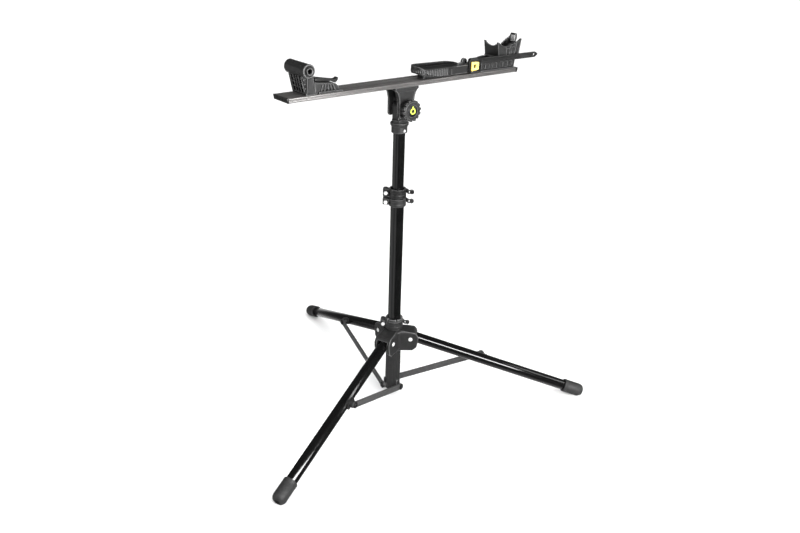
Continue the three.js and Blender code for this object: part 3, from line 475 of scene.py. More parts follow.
MARK = finish(
    "lime_mark", "yellow_plastic", (4, 2, (0.5, 0.62, 0.05), (0.62, 0.76, 0.09)), (1.5, 0.34, 0.46)
)
DISC = (PLAIN_BLACK[0], "yellow_plastic")
PAD = finish("grey_rubber_pad", "pad_grey", (3, 3, 0.25, 0.35), (1.5, 0.6, 0.8), (0.6, 2, 0.06, 0.5))


# --- mast foot
def socket_cut(radius, centre, direction, depth):
    """A hexagon socket sunk into a bolt's head."""
    hexagon = [(0, -depth), (radius, -depth), (radius, 1), (0, 1)]
    return lathe(hexagon, centre, direction, 6)


def build_mast_foot():
    low, high = node_box("lower_mast")
    tube = pipe(LOWER_MAST_RADIUS, 20, (0, 0, low.z), (0, 0, high.z), 0.5, 96)
    make("lower_mast_skin", "base", TUBE, "lower_mast", [tube])

    low, high = node_box("base_casting")
    foot_z, top_z = low.z, high.z
    sleeve = []
    facets = 12
    for i in range(facets * 8):
        angle = 2 * math.pi * i / (facets * 8)
        dip = 0.9 * (0.5 - 0.5 * math.cos(angle * facets)) ** 3
        sleeve.append(((26.2 - dip) * math.cos(angle), (26.2 - dip) * math.sin(angle)))
    foot_band = [(0, 0), (26.6, 0), (27.4, 1), (27.4, 10), (26.4, 12), (0, 12)]
    top_band = [(0, 0), (27.2, 1), (27.6, 2), (27.6, 7), (0, 8)]
    shells = [
        prism(sleeve, foot_z + 2, top_z, "xy"),
        lathe(foot_band, (0, 0, foot_z), (0, 0, 1)),
        lathe(top_band, (0, 0, top_z - 8), (0, 0, 1)),
    ]
    cuts = [post(LOWER_MAST_FIT, foot_z - 5, top_z + 5, 64)]
    for number, angle in zip(LEGS, LEG_ANGLES):
        bolt_z = pivot(f"strut_fold_{number}").z
        shells.append(turned(pin(12, STRUT_FOOT_X, bolt_z, 8, 32.6, 40, 1), angle))
        web = rounded([(-10, foot_z), (20, foot_z), (16, bolt_z + 26), (-4, bolt_z + 26)], 4)
        shells.append(turned(prism(web, 6, 26.5), angle))
        cuts.append(turned(pin(4.3, STRUT_FOOT_X, bolt_z, 25.5, 40, 24), angle))
    make("base_sleeve", "base", CASTING, "base_casting", shells, cuts, voxel=0.9)

    low, high = node_box("base_plug")
    plug = [post(21.6, low.z, low.z + 3.6, 64, 0.8), post(19.6, low.z, high.z, 64, 0.8)]
    make("mast_foot_plug", "base", PLAIN_BLACK, "base_plug", plug, [post(5, low.z - 1, low.z + 2, 32)])


# --- hub
def build_hub():
    low, high = node_box("hub_casting")
    bottom = low.z
    radius, height = LEG_PIVOT_RADIUS, LEG_PIVOT_Z
    hood_top = height + 33.2
    neck_top = node_box("hub_clamp")[1].z

    side = [(8, bottom), (radius + 8, bottom), (radius + 22, bottom + 12), (radius + 27, height - 6)]
    side += arc((radius, height), 27, 0, 60, 12) + [(8, hood_top)]
    shells = [post(37, bottom + 6, hood_top - 6, 64, 2)]
    crown = plate(-29, 29, bottom - 5, hood_top, [0, 0, 17, 17], 10)
    hood = trimmed(prism(side, -29, 29), prism(crown, 0, 120, "yz"))
    boss = [(0, -1), (10, -1), (10, 0), (9, 0.6), (0, 0.6)]
    for angle in LEG_ANGLES:
        shells.append(turned(hood, angle))
        # raised ring round the leg bolt on each cheek
        for y in (-29.2, 29.2):
            shells.append(turned(lathe(boss, (radius, y, height), (0, y, 0)), angle))
    shells += [post(26, hood_top - 1, neck_top + 4, 64), post(30, neck_top + 0.4, high.z, 64, 1.5)]

    swing = LEG_TUBE_RADIUS + 2
    slope = -LEG_SLOPE

    def around(angle, along, aside):
        return (
            radius + along * math.cos(angle) - aside * math.sin(angle),
            height + along * math.sin(angle) + aside * math.cos(angle),
        )

    down = -math.pi / 2
    window = [around(slope, 0, swing), around(down, 0, -swing), around(down, 70, -swing)]
    window += [around(slope, 70, -70), around(slope, 70, swing)]
    cuts = [post(LOWER_MAST_FIT, bottom - 5, high.z + 5, 64)]
    leg_space = [
        prism(window, -19.5, 19.5),
        pin(swing, radius, height, -19.5, 19.5, 40),
        pin(BOLT_HOLE, radius, height, -40, 40, 20),
    ]
    for angle in LEG_ANGLES:
        cuts += [turned(shell, angle) for shell in leg_space]
    for i in range(6):
        slit = block(20, 34, -2.5, 2.5, neck_top - 12, neck_top + 20)
        cuts.append(turned(slit, math.radians(i * 60 + 10)))
    make("hub_body", "hub", CASTING, "hub_casting", shells, cuts, voxel=1.0)

    bolt = [pin(BOLT_RADIUS, radius, height, -30, 30, 24)]
    sockets = []
    for y in (-1, 1):
        head = [(0, 0), (7, 0), (7, 1.6), (6, 2.8), (3.6, 3), (0, 3)]
        bolt.append(lathe(head, (radius, y * 29.4, height), (0, y, 0), 40))
        sockets.append(socket_cut(3, (radius, y * 32.4, height), (0, y, 0), 2))
    for number, angle in zip(LEGS, LEG_ANGLES):
        name, node = f"leg_bolt_{number}", f"leg_pivot_bolt_{number}"
        make(name, "hub", STEEL, node, bolt, sockets, place=about_mast(angle), bevel=0.2)


# --- legs and struts
def build_leg(number, angle):
    to_leg = (
        about_mast(angle)
        @ Matrix.Translation((LEG_PIVOT_RADIUS, 0, LEG_PIVOT_Z))
        @ Matrix.Rotation(LEG_SLOPE, 4, "Y")
    )
    body = f"leg_{number}"
    tube_end = LEG_LENGTH + 12
    bore = rod(LEG_BORE_RADIUS, (20, 0, 0), (tube_end + 5, 0, 0), 64)
    make(
        f"leg_tube_skin_{number}", body, TUBE, f"leg_tube_{number}",
        [rod(LEG_TUBE_RADIUS, (-4, 0, 0), (tube_end, 0, 0), 80, 0.6)],
        [bore, pin(BOLT_HOLE, 0, 0, -30, 30, 24)],
        place=to_leg,
    )

    along = STRUT_BOLT_ALONG
    saddle = [
        pin(12.5, along, 0, 8, 32.6, 40, 1),
        prism(plate(along - 20, along + 20, -11, 11, 5), 9, 23),
    ]
    seat = rod(LEG_TUBE_RADIUS + 0.3, (along - 40, 0, 0), (along + 40, 0, 0), 80)
    make(
        f"leg_saddle_{number}", body, PLAIN_CASTING, f"leg_lug_{number}",
        saddle, [seat], place=to_leg, bevel=0.8,
    )

    tip = LEG_LENGTH + 37
    mouth = LEG_LENGTH - 37
    profile = [(0, tube_end + 0.3), (18.8, tube_end + 0.3), (18.8, mouth), (22, mouth), (23, mouth + 1)]
    profile += [(23, mouth + 11), (22.2, mouth + 12), (22.2, mouth + 14), (22.8, mouth + 15)]
    profile += [(22.8, tip - 20)]
    for step in range(1, 13):
        turn = math.radians(90 * step / 12)
        profile.append((11.4 + 11.4 * math.cos(turn), tip - 18 + 18 * math.sin(turn)))
    profile += [(10.6, tip), (9.9, tip - 0.8), (9.6, tip - 7), (0, tip - 7)]
    cap = moved(lathe(profile, (0, 0, 0), (1, 0, 0), 80), to_leg)
    under_floor = block(-900, 900, -900, 900, -60, 0)
    make(f"foot_cap_{number}", body, RUBBER, f"foot_{number}", [cap], [under_floor], bevel=0.3, sharp=40)


def build_strut(number, angle):
    body = f"strut_{number}_body"
    base = (STRUT_FOOT_X, pivot(f"strut_fold_{number}").z)
    top = (STRUT_HEAD_X, LEG_PIVOT_Z - STRUT_BOLT_ALONG * math.sin(LEG_SLOPE))
    length = math.hypot(top[0] - base[0], top[1] - base[1])
    step = ((top[0] - base[0]) / length, (top[1] - base[1]) / length)
    # a shallow groove along each face, that stops short of the bolts
    inset = 24
    start = (base[0] + inset * step[0], base[1] + inset * step[1])
    end = (top[0] - inset * step[0], top[1] - inset * step[1])
    groove = capsule(start, end, 7.2, 16)
    near, far = 33, 38
    make(
        f"strut_bar_{number}", body, STRUT, f"strut_{number}",
        [prism(capsule(base, top, 11, 20), near, far)],
        [
            prism(groove, far - 0.4, far + 1),
            prism(groove, near - 1, near + 0.4),
            pin(4.5, *base, 30, 40, 24),
            pin(4.5, *top, 30, 40, 24),
        ],
        place=about_mast(angle), bevel=0.5,
    )

    head = [(0, 0), (10.6, 0), (11, 0.5), (11, 2.2), (10, 3), (8.6, 3), (7.4, 4.6), (0, 4.8)]
    for end, (x, z), inner in (("base", base, 26), ("top", top, 33)):
        make(
            f"strut_{end}_cap_{number}", body, PLAIN_BLACK, f"strut_{end}_bolt_{number}",
            [pin(BOLT_RADIUS, x, z, inner, far + 1, 24), lathe(head, (x, 38.3, z), (0, 1, 0), 56)],
            [socket_cut(3.4, (x, 43.1, z), (0, 1, 0), 2.6)],
            place=about_mast(angle), bevel=0.3,
        )


# --- cam clamps
CAM = (-38, 20)  # the cam's axis, from the mast's


def build_clamp(name, body, bore, outer, look, crown):
    """A split collar with its bolt and the cam lever that wraps round behind it.

    crown is the number of notches round the collar's upper edge.
    """
    place = about_mast(CLAMP_TURN)
    low, high = node_box(f"{name}_clamp")
    z0, z1 = low.z, high.z
    middle = (z0 + z1) / 2
    tall = z1 - z0
    ring = [(0, 0), (outer - 1, 0), (outer, 1), (outer, tall - 1), (outer - 1, tall), (0, tall)]
    shells = [
        lathe(ring, (0, 0, z0), (0, 0, 1), 80),
        prism(capsule((CAM[0], 0), (-10, 0), 10), z0 + 3, z1 - 3, "xy"),
    ]
    cuts = [
        post(bore, z0 - 5, z1 + 5, 80),
        block(-60, -10, -1.5, 1.5, z0 - 1, z1 + 1),
        pin(3.6, CAM[0], middle, -20, 20, 24),
    ]
    # a shallow groove right round the band
    groove = [(outer - 0.7, -4), (outer + 3, -4), (outer + 3, 4), (outer - 0.7, 4)]
    cuts.append(lathe(groove, (0, 0, middle), (0, 0, 1), 80))
    for i in range(crown):
        notch = block(bore - 2, outer + 2, -1.6, 1.6, z1 - 3.5, z1 + 2)
        cuts.append(turned(notch, 2 * math.pi * (i + 0.5) / crown))
    make(f"{name}_collar", body, look, f"{name}_clamp", shells, cuts, place, voxel=0.6)

    nut = [(0, 0), (6.5, 0), (6.5, 4.2), (5.4, 5.4), (0, 5.4)]
    bolt = [pin(3, CAM[0], middle, -12, 10, 24), lathe(nut, (CAM[0], -10.6, middle), (0, -1, 0), 6)]
    make(f"{name}_nut", body, STEEL, f"{name}_clamp_bolt", bolt, place=place, bevel=0.3)

    arm = arc((0, 0), 37, 14, 150, 40) + arc((0, 0), 33, 150, 14, 40)
    lever = [
        prism(arm, middle - 7, middle + 7, "xy"),
        rod(9, (*CAM, middle - 9), (*CAM, middle + 9), 48, 1.5),
        block(33, 42, 4, 9, middle - 6.5, middle + 6.5),
        pin(8, 45.5, middle, 3, 9.5, 48, 1.4),
    ]
    cuts = [
        rod(2.6, (*CAM, middle + 6), (*CAM, middle + 12), 24),
        block(36.5, 39.1, 0, 12, middle - 3.6, middle + 3.6),
        pin(5.4, 45.5, middle, 1, 3.7, 48),
    ]
    make(f"{name}_cam_lever", f"{name}_lever_body", look, f"{name}_lever", lever, cuts, place, voxel=0.5)


# --- upper mast and head
def build_upper_mast():
    low, high = node_box("mast_guide")
    bush = pipe(19.6, 14, (0, 0, low.z), (0, 0, high.z), 1)
    make("guide_bush", "guide", PLAIN_BLACK, "mast_guide", [bush], bevel=0.4)

    low, high = node_box("upper_mast")
    tube = pipe(UPPER_MAST_RADIUS, 17, (0, 0, low.z), (0, 0, high.z), 0.5, 96)
    make("upper_mast_skin", "mast", TUBE, "upper_mast", [tube])

    # flared collar, with a tongue that stands up between the tilting cheeks
    foot = node_box("head_collar")[0].z
    shoulder = foot + 32
    band = [(0, 0), (24.4, 0), (25, 0.6), (25, 18), (28.2, 24)]
    band += [(29, 26), (29, 30.6), (28, 31.8), (0, 31.8)]
    stem = [(17, shoulder - 8)] + arc((0, TILT_Z), 17, 0, 180, 20) + [(-17, shoulder - 8)]
    neck = trimmed(post(24, shoulder - 5, shoulder + 9, 64, 2), block(-30, 30, -19.4, 19.4, 900, 1200))
    hollow = plate(-16.5, -12, shoulder + 10, TILT_Z - 2, 0)  # down the left edge of the tongue
    screw_z = foot + 9
    make(
        "mast_head", "mast", CASTING, "head_collar",
        [lathe(band, (0, 0, foot), (0, 0, 1), 80), neck, prism(stem, -16, 16)],
        [
            post(19.3, foot - 5, shoulder - 5.5, 64),
            pin(BOLT_HOLE, 0, TILT_Z, -40, 40, 24),
            pin(3.1, 0, screw_z, -30, -19, 24),
            prism(hollow, -9, 9),
        ],
        voxel=0.7,
    )

    head = [(0, 0), (4.2, 0), (4.2, 1.8), (3.2, 2.9), (0, 2.9)]
    make(
        "collar_grub", "mast", STEEL, "collar_screw",
        [pin(2.5, 0, screw_z, -25.6, -19.3, 24), lathe(head, (0, -25.3, screw_z), (0, -1, 0), 32)],
        [socket_cut(2, (0, -28.2, screw_z), (0, -1, 0), 1.6)],
        bevel=0.2,
    )


def build_tilt_head():
    under = RAIL_LOW.z - 0.3
    bottom = TILT_Z - 26
    half = 28
    right = arc((half - 8, bottom + 8), 8, -90, 0, 8) + [(half, TILT_Z + 25)]
    right += curve((half, TILT_Z + 25), (half + 4, under - 12), (44, under - 8), 10) + [(44, under - 1)]
    cheek = right + [(-a, b) for a, b in reversed(right)]
    shells = [
        prism(cheek, -34, -20),
        prism(cheek, 20, 26),
        prism(plate(-44, 44, -34, 32, 5), under - 7, under, "xy"),
        block(-4, 4, -21, 21, TILT_Z + 24, under - 4),
        pin(13, 0, TILT_Z, 25, 26.2, 48),
    ]
    # sunk faces and side channels leave a rim round each cheek
    face = [(-half + 4, bottom + 5), (half - 4, bottom + 5), (half - 4, TILT_Z + 26)]
    face += [(half + 2, under - 14), (-half - 2, under - 14), (-half + 4, TILT_Z + 26)]
    cuts = [prism(rounded(face, [7, 7, 6, 3, 3, 6]), -36, -32.6)]
    for x in (-half, half):
        cuts.append(block(x - 2, x + 2, -30.5, -23.5, bottom + 9, TILT_Z + 22))
    cuts.append(pin(BOLT_HOLE, 0, TILT_Z, -40, 40, 24))
    make("tilt_bracket", "rail_beam", CASTING, "rail_bracket", shells, cuts, voxel=0.7)

    make(
        "tilt_through_bolt", "rail_beam", STEEL, "tilt_bolt",
        [
            pin(BOLT_RADIUS, 0, TILT_Z, -44, 28, 24),
            lathe([(0, 0), (8, 0), (8, 4.4), (6.8, 5.6), (0, 5.6)], (0, 26.3, TILT_Z), (0, 1, 0), 6),
        ],
        bevel=0.3,
    )
    build_knob()


def build_knob():
    # black lobed core
    lobes = 9
    core = []
    for i in range(lobes * 16):
        turn = 2 * math.pi * i / (lobes * 16)
        radius = 25.2 + 2.8 * abs(math.cos(turn * lobes / 2)) ** 0.7
        core.append((radius * math.cos(turn), TILT_Z + radius * math.sin(turn)))
    make(
        "knob_core", "knob", BLACK, "tilt_knob",
        [prism(core, -53.2, -34.3)],
        [pin(BOLT_HOLE, 0, TILT_Z, -44.5, -20, 24)],
        voxel=0.7,
    )

    # grey toothed plate on its front, with a sunk middle
    teeth = []
    for i in range(14):
        pitch = 360 / 14
        teeth += arc((0, TILT_Z), 33, i * pitch, (i + 0.5) * pitch, 4)
        teeth += arc((0, TILT_Z), 29.4, (i + 0.6) * pitch, (i + 0.9) * pitch, 3)
    make(
        "knob_plate", "knob", CASTING, None,
        [prism(teeth, -61.4, -53), pin(28, 0, TILT_Z, -63, -60, 64, 1)],
        [pin(18, 0, TILT_Z, -64, -61, 64)],
        voxel=0.6,
    )

    disc = pin(17.5, 0, TILT_Z, -63.4, -61.3, 64, 0.5)
    make("knob_face", "knob", DISC, "knob_disc", [disc])

    # plain turning mark: a lime ring with a short bar
    ring = lathe([(5.6, 0), (9.4, 0), (9.4, 0.35), (5.6, 0.35)], (0, -63.35, TILT_Z), (0, -1, 0), 56)
    bar = prism(plate(-1.9, 1.9, 9, 14.5, 0.8), -63.7, -63.3)
    make("knob_pointer", "knob", MARK, None, [ring, shifted(bar, 0, 0, TILT_Z)])


# --- rail
def build_rail():
    low, top = RAIL_LOW.z, RAIL_TOP
    half = RAIL_HIGH.y
    grooves = []
    for y in (-19, 19):
        grooves += [(y - 2.2, top), (y - 1.6, top - 1.1), (y + 1.6, top - 1.1), (y + 2.2, top)]
    section = [(-half, low + 1.5), (-half + 1.5, low), (half - 1.5, low), (half, low + 1.5)]
    section += [(half, low + 5), (half - 0.9, low + 5.8), (half - 0.9, low + 8), (half, low + 8.8)]
    section += [(half, top - 1.5), (half - 1.5, top)]
    section += [(y, z) for y, z in reversed(grooves)]
    section += [(-half + 1.5, top), (-half, top - 1.5)]
    section += [(-half, low + 8.8), (-half + 0.9, low + 8), (-half + 0.9, low + 5.8), (-half, low + 5)]
    x0, x1 = RAIL_LOW.x, RAIL_HIGH.x
    cuts = [
        block(x0 - 5, x1 + 5, -half + 2.4, -14, low + 2, top - 2),
        block(x0 - 5, x1 + 5, -12, 12, low + 2, top - 2),
        block(x0 - 5, x1 + 5, 14, half - 2.4, low + 2, top - 2),
    ]
    make(
        "rail_extrusion", "rail_beam", RAIL, "rail",
        [prism(section, x0, x1, "yz")], cuts, bevel=0.35, sharp=30,
    )
    build_rail_cap("rail_cap_fork", x0, -414, -417, 5)
    build_rail_cap("rail_cap_bb", x1, 461.6, 466.6, 7)


def build_rail_cap(node, face, under_x, top_x, corner):
    """A cap that slants outwards to its top, with a row of upright ribs on its face."""
    low, top = RAIL_LOW.z, RAIL_TOP
    half = RAIL_HIGH.y
    out = math.copysign(1, top_x - face)
    inner = face + out * 0.3
    plan = [(inner, -half), (top_x, -half), (top_x, half), (inner, half)]
    plan = rounded(plan, [0, corner, corner, 0], 8)
    side = [(inner, low), (under_x, low), (top_x, top), (inner, top)]
    shells = [
        trimmed(prism(side, -half, half), prism(plan, low - 1, top + 1, "xy")),
        block(*sorted((inner, face - out * 10)), -11.6, 11.6, low + 2.4, top - 2.4),
    ]
    lean = (top_x - under_x) / (top - low)
    cuts = []
    for i in range(8):
        y = -half + 9 + i * (2 * half - 18) / 7
        inside, outside = under_x - out * 1.1, under_x + out * 9
        slot = [(inside + lean * 3, low + 3), (outside, low + 3), (outside, top - 3)]
        slot.append((inside + lean * 11, top - 3))
        cuts.append(prism(slot, y - 2.3, y + 2.3))
    make(f"{node}_skin", "rail_beam", PLAIN_BLACK, node, shells, cuts, bevel=0.4)


# --- fork mount
def build_fork_mount():
    low, high = node_box("fork_tube")
    axis_x = (low.x + high.x) / 2
    axis_z = (low.z + high.z) / 2
    base = RAIL_TOP + 0.3
    half = 36
    foot_x, head_x, head_z = axis_x + 29.5, axis_x + 19.5, axis_z - 10

    # leaning cheeks, the near one with a bevelled front plate, and the wall behind them
    cheek = [(axis_x - 2, base), (foot_x, base), (head_x, head_z), (axis_x - 14, head_z - 6)]
    front = [(axis_x + 1.6, base), (foot_x, base), (head_x, head_z), (axis_x + 1.6, head_z - 3)]
    back = [(foot_x - 8, base), (foot_x, base), (head_x, head_z), (head_x - 8, head_z)]
    sole = plate(axis_x - 2.4, foot_x + 2, -38, -30, 4)
    shells = [
        prism(front, -half, -half + 1.2),
        prism(front, -half + 1, -half + 9, far=cheek),
        prism(cheek, half - 9, half),
        prism(back, -half + 1, half - 1),
        block(axis_x - 2, foot_x, -half, half, base, base + 6),
        prism(sole, base, base + 2.4, "xy"),
    ]
    for y in (-13, 0, 13):
        shells.append(prism(cheek, y - 1.5, y + 1.5))
    for rise in (18, 30, 42):
        x = axis_x - 0.2 * rise
        shells.append(block(x, axis_x + 18, -half + 3, half - 3, base + rise, base + rise + 2.4))
    # raised edges of the front plate
    for edge in (
        plate(axis_x + 1.6, axis_x + 3.6, base + 1, head_z, 0),
        [(foot_x - 2, base + 1), (foot_x, base + 1), (head_x, head_z), (head_x - 2, head_z)],
    ):
        shells.append(prism(edge, -half - 1.1, -half + 1))
    panel = [(axis_x + 6, base + 5), (axis_x + 25, base + 5)]
    panel += [(axis_x + 16.5, axis_z - 22), (axis_x + 6, axis_z - 22)]
    cuts = [
        pin(19.3, axis_x, axis_z, -60, 60, 80),
        prism(rounded(panel, 2), -half - 3, -half + 0.9),
    ]
    make("fork_carriage_body", "fork_carriage", CASTING, "fork_bracket", shells, cuts, voxel=0.7)

    # cross tube with a few low seams round its upper side
    barrel = high.y
    shells = [pipe(18.7, 11, (axis_x, -barrel, axis_z), (axis_x, barrel, axis_z), 0.6, 96)]
    for y in (-30, -14, 2, 18, 34):
        band = [(17, 0), (19, 0.3), (19, 1.7), (17, 2)]
        shells.append(lathe(band, (axis_x, y - 1, axis_z), (0, 1, 0), 96))
    make("fork_cross_tube", "fork_carriage", PLAIN_CASTING, "fork_tube", shells, bevel=0.2)

    for node, out in (("axle_ring_near", -1), ("axle_ring_far", 1)):
        centre, away = (axis_x, out * barrel, axis_z), (0, out, 0)
        profile = [(9.3, 0.3), (18.9, 0.3), (19.2, 0.8), (19.2, 2.5), (18.4, 3.2), (16.2, 4.6), (15.2, 5)]
        profile += [(14, 4.6), (13.4, 3.9), (11.2, 3.9), (10.6, 4.8), (10.6, 8.2), (9.8, 8.8), (9.3, 8.8)]
        ring = lathe(profile, centre, away, 96)
        make(f"{node}_skin", "fork_carriage", PLAIN_CASTING, node, [ring], sharp=50)
        # bright liner that shows round the bore, and a thin light line on the bevel that is a painted
        # highlight
        liner = lathe([(7.7, 0.3), (9.4, 0.3), (9.4, 8.9), (8.6, 9), (7.7, 8.3)], centre, away, 96)
        # painted highlight: a lighter band on the ring's bevel where light would catch it
        line = lathe([(15.6, 4.6), (18.2, 3), (18.5, 3.3), (15.9, 5)], centre, away, 96)
        make(f"{node}_liner", "fork_carriage", LINER_AND_BEVEL_HIGHLIGHT, None, [liner, line], sharp=50)


def build_rail_lock():
    low, high = node_box("lock_housing")
    base = low.z
    start, end = low.x, high.x
    hinge = pivot("lock_lever_turn")

    wedge = [(start, base), (end - 4, base), (end - 15.5, at(19)), (end - 24, at(24))]
    wedge += above((end - 29, 25.6), (hinge.x, 31.5), (start, 31.5))
    flange = [(-311.8, base), (end, base), (end - 3, at(4.6)), (-311.8, at(5))]
    shells = [
        prism(rounded(flange, [0, 1, 2, 1]), -34, 34),
        prism(rounded(wedge, [0, 1, 5, 4, 3, 2, 2]), -28.6, 28.6),
    ]
    for i in range(5):
        foot, head, top = -307 + i * 12, -300 + i * 8.2, at(25.5 - i * 0.9)
        rib = [(foot, at(4)), (foot + 3.6, at(4)), (head + 2.6, top), (head, top)]
        shells += [prism(rib, -33, -28), prism(rib, 28, 33)]
    # brow that the ribs run up to
    brow = above((-318, 27), (-268, 20), (-262, 20.6), (-262, 24), (-318, 31))
    shells += [prism(brow, -31, -27), prism(brow, 27, 31)]
    cuts = []
    for i in range(4):
        x = -302 + i * 12
        cuts.append(prism(above((x, 6), (x + 6, 6), (x + 6.5, 9), (x + 1, 10.5)), -40, -26.5))
    make("rail_lock_housing", "fork_carriage", CASTING, "lock_housing", shells, cuts, voxel=0.7)

    # flat lever that narrows to a thumb tab
    x, z = hinge.x, hinge.z
    tip = -230
    side = [(x, z - 3.5), (x + 54, at(27))]
    side += bend((x + 54, 27), (x + 62, 26), (x + 73, 20), 8)
    side += bend((x + 73, 20), (tip - 4, 22), (tip, 33), 8)
    side += [(tip - 3, at(34.4))]
    side += bend((tip - 3, 34.4), (tip - 8, 29), (tip - 15, 30), 8)
    side += [(x + 48, at(33)), (x, z + 3.5)] + arc((x, z), 3.5, 90, 270, 10)[1:-1]
    plan = [(x - 5, -25), (x + 10, -25), (tip - 14, -9), (tip + 1, -7)]
    plan += [(a, -b) for a, b in reversed(plan)]
    outline = prism(rounded(plan, [2, 8, 8, 5, 5, 8, 8, 2]), z - 30, z + 30, "xy")
    hollow = [(x + 14, -15), (tip - 28, -7), (tip - 28, 7), (x + 14, 15)]
    make(
        "rail_lock_lever", "lock_lever_body", PLAIN_CASTING, "lock_lever",
        [trimmed(prism(side, -27, 27), outline)],
        [prism(rounded(hollow, 5), z - 1.2, z + 10, "xy")],
        bevel=0.7, sharp=30,
    )


# --- bottom bracket cradle
def build_cradle():
    build_carriage()
    build_saddle()
    build_jaw()


def build_carriage():
    gap = 0.3
    side = above((262, gap), (452, gap), (458, 38), (352, 38), (318, 30), (276, 14), (262, 12))
    shells = [
        prism(rounded(side, [1, 2, 3, 10, 8, 4, 2]), -30, 30),
        prism(plate(300, 450, -36, 36, 5), at(gap), at(4), "xy"),
    ]
    cuts = [block(256, 284, -31, -20, at(4), at(42))]
    for i in range(5):
        x = 301 + i * 17
        for low_y, high_y in ((-31, -26), (26, 31)):
            cuts.append(prism(capsule((x, at(10)), (x, at(20)), 3), low_y, high_y))
    for i in range(3):
        x = 386 + i * 21
        cuts.append(prism(plate(x, x + 15, at(8), at(24), 3), -31, -28))
    # cleft along the top, under the saddle's end
    cuts.append(prism(above((322, 31), (348, 39), (372, 39), (372, 34)), -18, 18))
    make("cradle_carriage", "cradle", BLACK, "bb_carriage", shells, cuts, voxel=0.8)


def build_saddle():
    foot = 38.3
    floor = at(foot)
    half = 32
    end_outline = above((-half, foot), (half, foot), (half, 86.5))
    end_outline += bend((half, 86.5), (16, 74), (0, 73.5), 10)
    end_outline += bend((0, 73.5), (-16, 74), (-half, 86.5), 10)
    lean = prism(above((377, foot), (383, foot), (374, 87), (368.5, 87)), -half, half)
    near = above((377, foot), (469, foot), (478, 91.5), (473, 92))
    near += bend((473, 92), (456, 79), (428, 76), 10)
    near += bend((428, 76), (414, 71), (402, 72), 8)
    near += bend((402, 72), (388, 74), (373.5, 86.5), 8) + [(368.5, at(86.5))]
    far = above((377, foot), (469, foot), (471, 64), (408, 64))
    far += bend((408, 64), (388, 66), (373.5, 86.5), 10) + [(368.5, at(86.5))]
    shells = [
        prism(near, -half, -half + 5),
        prism(far, half - 5, half),
        trimmed(prism(end_outline, 360, 400, "yz"), lean),
        block(379, 467, -half + 1, half - 1, floor, floor + 5),
    ]
    # lip along the top of each wall
    for wall, low_y, high_y in ((near, -half - 1.6, -half + 2), (far, half - 2, half + 1.6)):
        lip = wall[3:]
        shells.append(prism(lip + [(a, b - 3) for a, b in reversed(lip)], low_y, high_y))
    # upright edge at the near corner, then arched buttresses under the right-hand slope
    corner = above((377, foot), (381, foot), (372.5, 84), (368.5, 84))
    shells.append(prism(corner, -half - 1.4, -half + 1))
    ribs = ((411, 408, 70), (425, 428, 73), (432, 429, 73), (446, 454, 78), (464, 471, 86))
    for foot_x, head_x, head in ribs:
        rib = above((foot_x - 1.5, 44), (foot_x + 1.5, 44))
        rib += above((head_x + 1.5, head), (head_x - 1.5, head))
        shells.append(prism(rib, -half - 2.6, -half + 1))
    for middle_x, top in ((418, 66), (440, 70)):
        middle = (middle_x, at(top - 8))
        bow = arc(middle, 8.6, 0, 180, 14) + arc(middle, 6.4, 180, 0, 14)
        shells.append(prism(bow, -half - 2.4, -half + 1))
    # flange that spreads onto the carriage
    flange = plate(374, 471, -33.6, 33.6, 3)
    shells.append(prism(flange, floor, floor + 3, "xy"))
    make("shell_saddle", "cradle", BLACK, "bb_saddle", shells, voxel=0.7)


def build_jaw():
    foot = 43.7
    pad_face = 467.6
    block_side = above((400, foot), (456, foot), (468, 62), (477, 90), (476.5, 104), (472, 106))
    block_side += above((pad_face, 101), (pad_face, 78), (440, 72))
    ridge = above((404, foot), (456, foot), (470, 80), (474, 105), (472, 106))
    ridge += above((465, 95), (448, 88), (430, 76))
    shells = [
        prism(rounded(block_side, [0, 0, 2, 3, 2, 2, 1, 1, 4]), -11, 8),
        prism(rounded(ridge, [0, 0, 2, 2, 1, 3, 4, 3]), 7.5, 13),
    ]
    cuts = []
    for i in range(4):
        x, z = 434 + i * 8, at(80 + i * 3.2)
        cuts.append(prism([(x, z - 2), (x + 3, z - 0.6), (x + 1.4, z + 5), (x - 1.6, z + 3.6)], 6, 16))
    # hollow in the jaw's near side
    hollow = above((460, 66), (467, 66), (474.5, 90), (474, 102), (470, 102), (470, 76))
    cuts.append(prism(rounded(hollow, 1), -12, -9))
    make("strap_anchor_block", "cradle", BLACK, "bb_jaw", shells, cuts, voxel=0.7)

    low, high = node_box("bb_pad")
    cuts = []
    for i in range(1, 4):
        y = low.y + i * (high.y - low.y) / 4
        z = low.z + i * (high.z - low.z) / 4
        cuts.append(block(low.x - 1, low.x + 0.6, y - 0.4, y + 0.4, low.z - 1, high.z + 1))
        cuts.append(block(low.x - 1, low.x + 0.6, low.y - 1, high.y + 1, z - 0.4, z + 0.4))
    face = plate(low.y, high.y, low.z, high.z, 2)
    make("grip_pad", "cradle", PAD, "bb_pad", [prism(face, low.x, high.x, "yz")], cuts, bevel=0.25)


# --- strap
def build_strap():
    build_loop()
    build_buckle()

    low, high = node_box("strap_tail")
    middle = (low.z + high.z) / 2
    side = [(low.x, low.z), (538, low.z)] + curve((538, low.z), (547, low.z + 3), (high.x, middle), 6)
    side += curve((high.x, middle), (547, high.z - 3), (538, high.z), 6) + [(low.x, high.z)]
    cuts = [pin(4, 535, middle, -50, -30, 40)]
    # ratchet teeth across the outer face
    for i in range(48):
        x = 300 + i * 3.5
        cuts.append(block(x, x + 1.4, -41, low.y + 0.7, middle - 5.5, middle + 5.5))
    make("strap_end", "cradle", STRAP, "strap_tail", [prism(side, low.y, high.y)], cuts, bevel=0.35)


